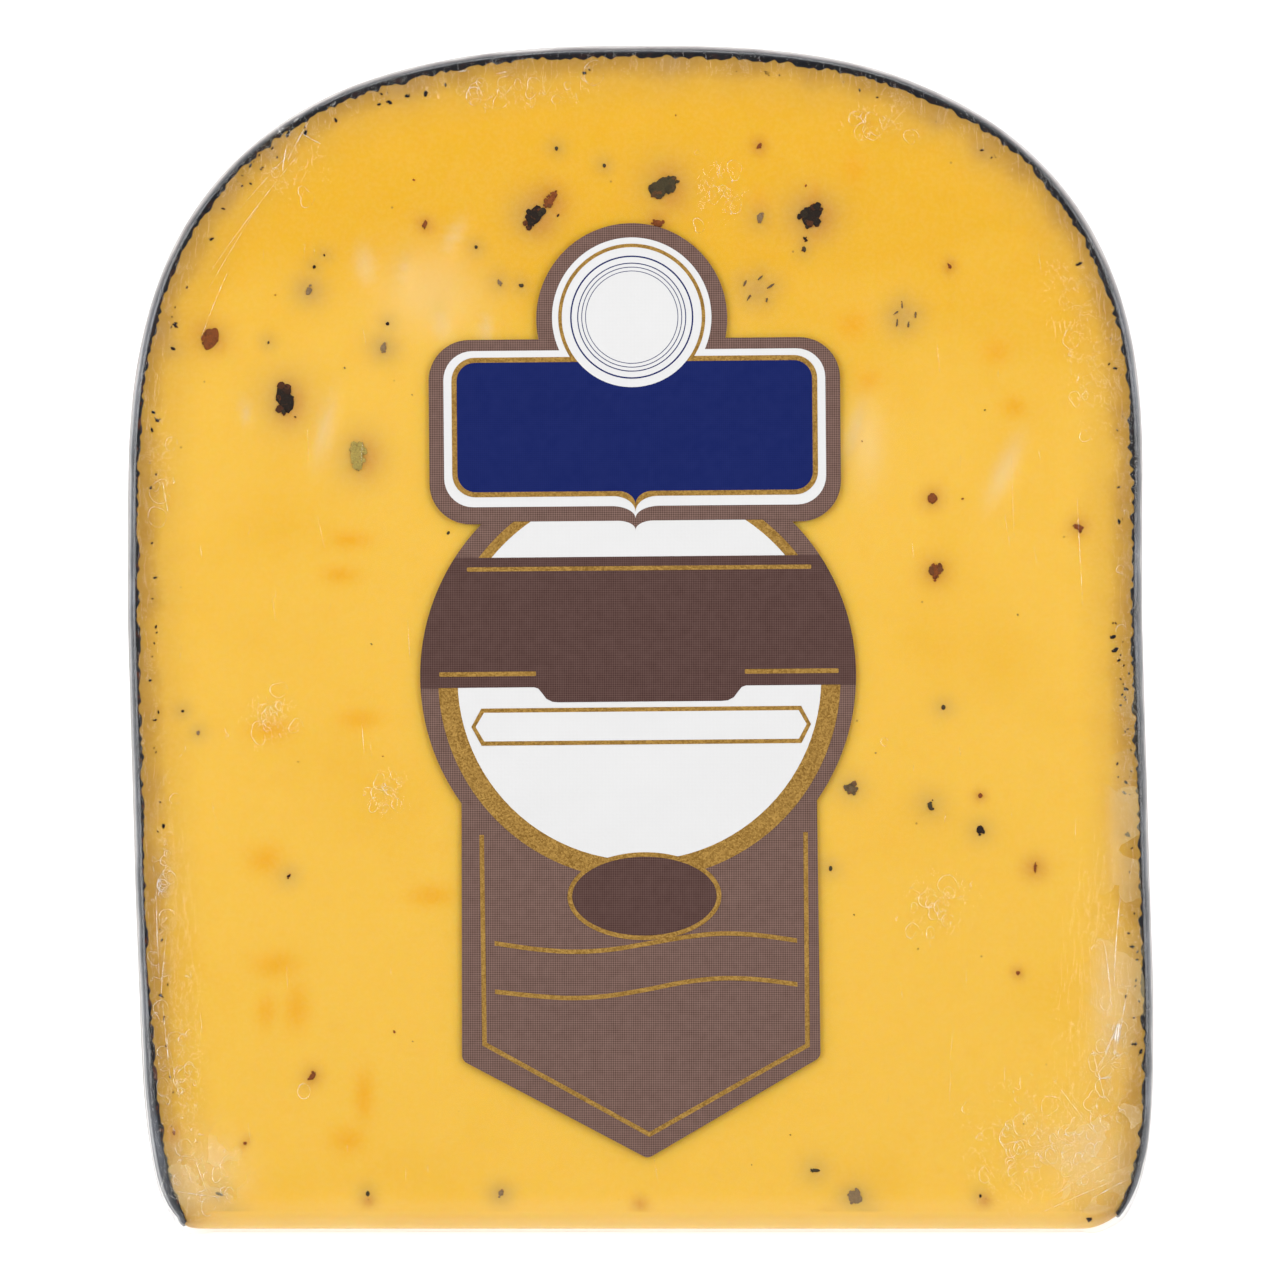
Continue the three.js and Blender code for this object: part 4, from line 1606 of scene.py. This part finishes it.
cheese_shader = add(
    tree,
    "ShaderNodeBsdfPrincipled",
    {
        "Base Color": colour,
        "Roughness": between(tree, fine_drift, 0.3, 0.7, 0.42, 0.55),
        "Subsurface Weight": 0.55,
        "Subsurface Radius": (1.0, 0.55, 0.16),
        "Subsurface Scale": 0.0022,
        "Normal": bump,
        "Specular IOR Level": 0.35,
    },
)
finish_material(tree, cheese_shader.outputs[0])
paste.data.materials.append(material)

# %% [markdown]
# ## Coating finish
#
# Brushed black plastic: nearly black and glossy in broad strokes. A bluish sheen in soft patches,
# fine grey glints and, on the left, a pale edge and a thin dark line on the shoulder are painted
# reflection: they stand in for the film mirroring the bright room over the black coat. On the torn
# lip the plastic is thin and shows black or a dark red-brown. Over the rim the shoulder is browner.

# %% Black coating
material, tree, face = new_material("black_coating")
own = add(tree, "ShaderNodeTexCoord").outputs["Object"]
# Painted sheen: soft bluish patches and finer grey glints mixed into the colour stand in for the
# film mirroring the bright room over the black coat, with less of it over the rim.
sheen_and_bump_patches = noise(tree, own, 160.0, 4.0, 0.6, (1.0, 1.0, 0.5))
strokes = noise(tree, own, 420.0, 3.0, 0.6, (1.0, 0.35, 1.0))
glint_noise = noise(tree, own, 1500.0, 3.0, 0.6)
over_rim = times_plus(tree, point_value(tree, "dome"), -0.85, 1.0)
painted_sheen_share = times(tree, between(tree, sheen_and_bump_patches, 0.42, 0.70, 0.0, 0.8), over_rim)
colour = blend_colour(tree, painted_sheen_share, (0.020, 0.023, 0.029), (0.085, 0.095, 0.118))
painted_glint_share = times(tree, between(tree, glint_noise, 0.60, 0.74, 0.0, 0.45), over_rim)
colour = blend_colour(tree, painted_glint_share, colour, (0.20, 0.22, 0.25))
outer_value = point_value(tree, "outer")
side_wall = between(tree, outer_value, 0.96, 1.0, 0.0, 0.75)
colour = blend_colour(tree, side_wall, colour, (0.014, 0.016, 0.020))
# On the left side's shoulder, a painted pale grey edge and a painted thin dark line stand in for
# the film's reflection where it stands off the coat.
from_shoulder = math_node(tree, "ABSOLUTE", math_node(tree, "SUBTRACT", outer_value, 0.82))
shoulder_only = between(tree, from_shoulder, 0.02, 0.17, 1.0, 0.0)
painted_reflection_edge = times(tree, shoulder_only, point_value(tree, "left"))
colour = blend_colour(tree, times(tree, painted_reflection_edge, 0.7), colour, (0.36, 0.36, 0.37))
from_line = math_node(tree, "ABSOLUTE", math_node(tree, "SUBTRACT", outer_value, 0.60))
line = between(tree, from_line, 0.02, 0.10, 1.0, 0.0)
line = times(tree, line, point_value(tree, "left"))
colour = blend_colour(tree, times(tree, line, 0.85), colour, (0.014, 0.018, 0.034))
before_side = between(tree, outer_value, 0.94, 0.995, 1.0, 0.0)
warm_edge = times(tree, between(tree, outer_value, 0.30, 0.80), before_side)
warm_edge = times(tree, warm_edge, point_value(tree, "dome"))
colour = blend_colour(tree, times(tree, warm_edge, 0.8), colour, (0.135, 0.105, 0.100))
lip_value = point_value(tree, "torn")
lip_break = noise(tree, face, 1.3, 3.0, 0.6)
red_share = times(tree, lip_value, between(tree, lip_break, 0.5, 0.66, 0.0, 0.9))
more_red = times_plus(tree, point_value(tree, "left"), 0.8, 0.2)
red_share = times(tree, red_share, more_red)
colour = blend_colour(tree, lip_value, colour, (0.004, 0.004, 0.006))
colour = blend_colour(tree, red_share, colour, (0.095, 0.026, 0.010))
height = math_node(tree, "ADD", times(tree, sheen_and_bump_patches, 0.6), times(tree, strokes, 0.4))
bump = bumped(tree, height, 0.22, 0.0005)
coating_shader = add(
    tree,
    "ShaderNodeBsdfPrincipled",
    {
        "Base Color": colour,
        "Roughness": between(tree, strokes, 0.3, 0.7, 0.30, 0.52),
        "Normal": bump,
        "Specular IOR Level": 0.32,
    },
)
finish_material(tree, coating_shader.outputs[0])
coating.data.materials.append(material)

# %% [markdown]
# ## Truffle finish
#
# Dark, dry and crumbly, with pale veins too fine to model. Each crumb brings its own colour,
# and fine noise breaks it into lighter and darker grains.

# %% Truffle
material, tree, face = new_material("truffle_flesh")
flesh = point_value(tree, "flesh", "Color")
grains = noise(tree, face, 5.0, 3.0, 0.7)
NEARLY_BLACK = (0.010, 0.007, 0.005)
colour = blend_colour(tree, between(tree, grains, 0.40, 0.52), flesh, NEARLY_BLACK, "MULTIPLY")
colour = blend_colour(tree, between(tree, grains, 0.38, 0.56, 1.0, 0.0), flesh, colour)
veins = noise(tree, face, 3.1, 2.0, 0.5)
vein_share = between(tree, veins, 0.60, 0.70, 0.0, 0.35)
colour = blend_colour(tree, vein_share, colour, (0.15, 0.048, 0.014))
grain = use_group(tree, grain_group, {"Vector": face, "Scale": 6.0, "Amount": 1.0})["Height"]
bump = bumped(tree, grain, 0.6, 0.0002)
truffle_shader = add(
    tree,
    "ShaderNodeBsdfPrincipled",
    {"Base Color": colour, "Roughness": between(tree, grains, 0.3, 0.7, 0.55, 0.8),
     "Normal": bump, "Subsurface Weight": 0.1,
     "Subsurface Radius": (0.6, 0.3, 0.15), "Subsurface Scale": 0.0006,
     "Specular IOR Level": 0.2},
)
finish_material(tree, truffle_shader.outputs[0])
for piece in (shavings, crumbs, under_crumbs):
    piece.data.materials.append(material)

# %% [markdown]
# ## Film finish
#
# Clear film is mostly nothing: light passes straight through, and a few hundredths reflect,
# more at a glancing angle. A Fresnel node would treat the inside of this closed skin as solid
# plastic and trap the light, so the share that reflects comes from Layer Weight's Facing, which
# is the same from both sides. Where the film is crinkled, bump tips the reflection and a trace
# of pale haze shows the air beneath it.

# %% Clear film
material, tree, face = new_material("clear_shrink_film")
crinkled_value = point_value(tree, "crinkled")
creased_value = point_value(tree, "creased")
warp = noise(tree, face, 0.6, 2.0, 0.5, output="Color")
bent = add(
    tree, "ShaderNodeVectorMath", {0: warp, 1: (1.6, 1.6, 1.6), 2: face}, operation="MULTIPLY_ADD"
).outputs[0]
bubbles = add(
    tree, "ShaderNodeTexVoronoi", {"Vector": bent, "Scale": 1.25}, feature="DISTANCE_TO_EDGE"
).outputs[0]
bubble_line = between(tree, bubbles, 0.0, 0.06, 1.0, 0.0)
patchy = between(tree, noise(tree, face, 0.7, 3.0, 0.6), 0.44, 0.60)
crinkle_share = times(tree, crinkled_value, patchy)
bubble_share = times(tree, bubble_line, crinkle_share)
crease_noise = noise(tree, face, 1.2, 4.0, 0.6, (1.0, 0.16, 0.16))
crease_line = between(
    tree,
    math_node(tree, "ABSOLUTE", math_node(tree, "SUBTRACT", crease_noise, 0.5)),
    0.0, 0.016, 1.0, 0.0,
)
crease_share = times(tree, crease_line, creased_value)
slack = noise(tree, face, 0.10, 2.0, 0.5)
height = times_plus(tree, bubble_share, 0.16, times(tree, slack, 0.5))
height = times_plus(tree, crease_share, 0.14, height)
bump = bumped(tree, height, 0.7, 0.001)
glance = add(tree, "ShaderNodeLayerWeight", {"Blend": 0.5, "Normal": bump})
steep = math_node(tree, "POWER", glance.outputs["Facing"], 5.5)
reflected = times_plus(tree, steep, 0.32, 0.04)
mirror = add(
    tree,
    "ShaderNodeBsdfGlossy",
    {"Color": (1, 1, 1, 1), "Roughness": 0.06, "Normal": bump},
)
edge_on = math_node(tree, "POWER", glance.outputs["Facing"], 6.0)
tint = blend_colour(tree, edge_on, (0.99, 0.99, 0.99), (0.45, 0.40, 0.39))
through = add(tree, "ShaderNodeBsdfTransparent", {"Color": tint})
clear = add(
    tree, "ShaderNodeMixShader", {0: reflected, 1: through.outputs[0], 2: mirror.outputs[0]}
)
facets = add(
    tree, "ShaderNodeTexVoronoi", {"Vector": bent, "Scale": 0.30, "Randomness": 1.0}
).outputs["Color"]
facet = add(tree, "ShaderNodeSeparateXYZ", {0: facets}).outputs[0]
facet_share = times(tree, point_value(tree, "veiled"), between(tree, facet, 0.2, 0.9))
haze = add(tree, "ShaderNodeBsdfDiffuse", {"Color": (0.84, 0.70, 0.40, 1), "Roughness": 0.5})
haze_share = times(tree, bubble_share, 0.07)
haze_share = times_plus(tree, crease_share, 0.07, haze_share)
haze_share = times_plus(tree, crinkle_share, 0.02, haze_share)
haze_share = times_plus(tree, facet_share, 0.26, haze_share)
haze_share = times_plus(tree, point_value(tree, "dented"), 0.05, haze_share)
haze_share = math_node(tree, "MINIMUM", haze_share, 0.5)
whole = add(
    tree, "ShaderNodeMixShader", {0: haze_share, 1: clear.outputs[0], 2: haze.outputs[0]}
)
finish_material(tree, whole.outputs[0])
film.data.materials.append(material)

# %% [markdown]
# A ridge in the film bends light so strongly that it reads as a pale line. It gets the same mix
# of transparent and glossy, with more haze than the film round it.

# %% Film ridges
material, tree, face = new_material("film_ridge")
uneven = noise(tree, face, 1.1, 2.0, 0.6)
clear_ridge = add(tree, "ShaderNodeBsdfTransparent", {"Color": (1, 1, 1, 1)})
bright = add(tree, "ShaderNodeBsdfGlossy", {"Color": (1, 1, 1, 1), "Roughness": 0.2})
milky = add(tree, "ShaderNodeBsdfDiffuse", {"Color": (0.86, 0.84, 0.80, 1)})
lit = add(tree, "ShaderNodeMixShader", {0: 0.5, 1: milky.outputs[0], 2: bright.outputs[0]})
seen = between(tree, uneven, 0.35, 0.70, 0.03, 0.36)
ridge_mix = add(
    tree, "ShaderNodeMixShader", {0: seen, 1: clear_ridge.outputs[0], 2: lit.outputs[0]}
)
finish_material(tree, ridge_mix.outputs[0])
wrinkles.data.materials.append(material)

# %% [markdown]
# ## Label inks
#
# One paper, five inks. The taupe ground and the brown are printed with a fine screen, the navy
# is a solid with tiny pin-holes, the white is bare coated paper, and the gold is metal powder
# in varnish, which sparkles because its flakes lie at slightly different tilts.


# %% Paper and screened inks
def ink_material(name, dark, light, pitch, contrast, shine):
    """A printed ink: a screen between two colours, on satin paper with a faint tooth."""
    material, tree, face = new_material(name)
    screen = use_group(
        tree, halftone_group, {"Vector": face, "Pitch": pitch, "Contrast": contrast}
    )["Mask"]
    uneven = noise(tree, face, 1.4, 3.0, 0.6)
    share = times_plus(tree, math_node(tree, "SUBTRACT", uneven, 0.5), 0.35, screen)
    colour = blend_colour(tree, share, dark, light)
    tooth = use_group(tree, grain_group, {"Vector": face, "Scale": 3.2, "Amount": 0.6})["Height"]
    slack = noise(tree, face, 0.07, 2.0, 0.5)
    height = times_plus(tree, slack, 1.2, times(tree, tooth, 0.05))
    bump = bumped(tree, height, 0.4, 0.001)
    shader = add(
        tree,
        "ShaderNodeBsdfPrincipled",
        {
            "Base Color": colour,
            "Roughness": between(tree, uneven, 0.3, 0.7, 0.42, 0.52),
            "Normal": bump,
            "Specular IOR Level": shine,
        },
    )
    finish_material(tree, shader.outputs[0])
    return material


taupe = ink_material("taupe_ink", (0.055, 0.030, 0.024), (0.215, 0.130, 0.108), 0.31, 1.0, 0.15)
white = ink_material("white_paper", (0.615, 0.612, 0.612), (0.655, 0.655, 0.66), 0.5, 0.25, 0.3)
navy = ink_material("navy_ink", (0.003, 0.008, 0.072), (0.008, 0.017, 0.118), 0.27, 0.6, 0.12)
brown = ink_material("brown_ink", (0.038, 0.018, 0.015), (0.118, 0.064, 0.056), 0.31, 1.0, 0.15)


# %% Gold ink
def gold_material():
    """Metal flakes: small cells that each tip the normal and tint the gold a little."""
    material, tree, face = new_material("gold_ink")
    flakes = add(tree, "ShaderNodeTexVoronoi", {"Vector": face, "Scale": 7.0}).outputs["Color"]
    one = add(tree, "ShaderNodeSeparateColor", {"Color": flakes}).outputs[0]
    clouds = noise(tree, face, 0.5, 2.0, 0.5)
    share = times_plus(tree, one, 0.6, times(tree, clouds, 0.4))
    colour = blend_colour(tree, share, (0.26, 0.125, 0.018), (0.56, 0.33, 0.075))
    bump = bumped(tree, one, 0.5, 0.0002)
    shader = add(
        tree,
        "ShaderNodeBsdfPrincipled",
        {
            "Base Color": colour,
            "Metallic": 0.55,
            "Roughness": between(tree, one, 0.0, 1.0, 0.32, 0.5),
            "Normal": bump,
        },
    )
    finish_material(tree, shader.outputs[0])
    return material


gold = gold_material()
for ink in (taupe, white, gold, navy, brown):
    label.data.materials.append(ink)
print("inks on the label:", [m.name for m in label.data.materials])

# %% [markdown]
# ## The stage
#
# A pale table that glows a little, as a light table does, keeps the shadow of a thin object
# soft. The camera looks square on to the upper cut face, from far away, so the outline is not
# distorted.

# %% Floor
floor_mesh = bpy.data.meshes.new("pale_table")
reach = 6.0
floor_mesh.from_pydata(
    [(-reach, -reach, 0), (reach, -reach, 0), (reach, reach, 0), (-reach, reach, 0)],
    [],
    [(0, 1, 2, 3)],
)
floor = bpy.data.objects.new("pale_table", floor_mesh)
bpy.context.scene.collection.objects.link(floor)
material = bpy.data.materials.new("pale_table")
material.use_nodes = True
table_shader = material.node_tree.nodes["Principled BSDF"]
table_shader.inputs["Base Color"].default_value = (0.86, 0.86, 0.86, 1)
table_shader.inputs["Roughness"].default_value = 0.9
table_shader.inputs["Specular IOR Level"].default_value = 0.1
table_shader.inputs["Emission Color"].default_value = (1, 1, 1, 1)
table_shader.inputs["Emission Strength"].default_value = 0.45
floor_mesh.materials.append(material)

# %% Camera
CAMERA_DISTANCE = 1200.0
FRAME_WIDTH = 125.7
camera_data = bpy.data.cameras.new("camera")
camera_data.sensor_width = 36.0
camera_data.lens = 36.0 * CAMERA_DISTANCE / FRAME_WIDTH
camera = bpy.data.objects.new("camera", camera_data)
bpy.context.scene.collection.objects.link(camera)
cos, sin = math.cos(CUT_ANGLE), math.sin(CUT_ANGLE)
target = on_upper(0.2, 70.0, 0.0) * MM
place = target + np.array([0, -sin, cos]) * CAMERA_DISTANCE * MM
camera.matrix_world = Matrix(
    (
        (1, 0, 0, place[0]),
        (0, cos, -sin, place[1]),
        (0, sin, cos, place[2]),
        (0, 0, 0, 1),
    )
)
bpy.context.scene.camera = camera
print("lens, mm:", round(camera_data.lens, 1))

# %% [markdown]
# Light comes from the sides. A lamp near the camera would mirror in the film and bleach the
# colours, so the sky is dark overhead and bright near the horizon, and three large soft lamps
# stand around.

# %% Sky
world = bpy.data.worlds.new("studio")
bpy.context.scene.world = world
world.use_nodes = True
sky = world.node_tree
sky.nodes.clear()
direction = add(sky, "ShaderNodeTexCoord").outputs["Generated"]
upwards = add(sky, "ShaderNodeSeparateXYZ", {0: direction}).outputs[2]
strength = between(sky, upwards, 0.45, 0.92, 1.0, 0.05)
backdrop = add(sky, "ShaderNodeBackground", {"Color": (1.0, 0.995, 0.985, 1), "Strength": strength})
add(sky, "ShaderNodeOutputWorld", {"Surface": backdrop.outputs[0]})


# %% Soft lamps
def soft_lamp(name, place, width, height, power):
    """A rectangular lamp that faces the wedge."""
    data = bpy.data.lights.new(name, "AREA")
    data.shape = "RECTANGLE"
    data.size, data.size_y = width, height
    data.energy = power
    lamp = bpy.data.objects.new(name, data)
    bpy.context.scene.collection.objects.link(lamp)
    lamp.location = Vector(place)
    lamp.rotation_euler = (-Vector(place)).to_track_quat("-Z", "Y").to_euler()
    return lamp


soft_lamp("lamp_left", (-0.75, 0.05, 0.62), 0.7, 0.9, 7.0)
soft_lamp("lamp_right", (0.75, 0.05, 0.62), 0.7, 0.9, 6.0)
soft_lamp("lamp_rim", (0.0, 0.85, 0.65), 1.0, 0.5, 5.0)
bpy.context.scene.view_settings.view_transform = "Standard"
bpy.context.scene.view_settings.look = "None"
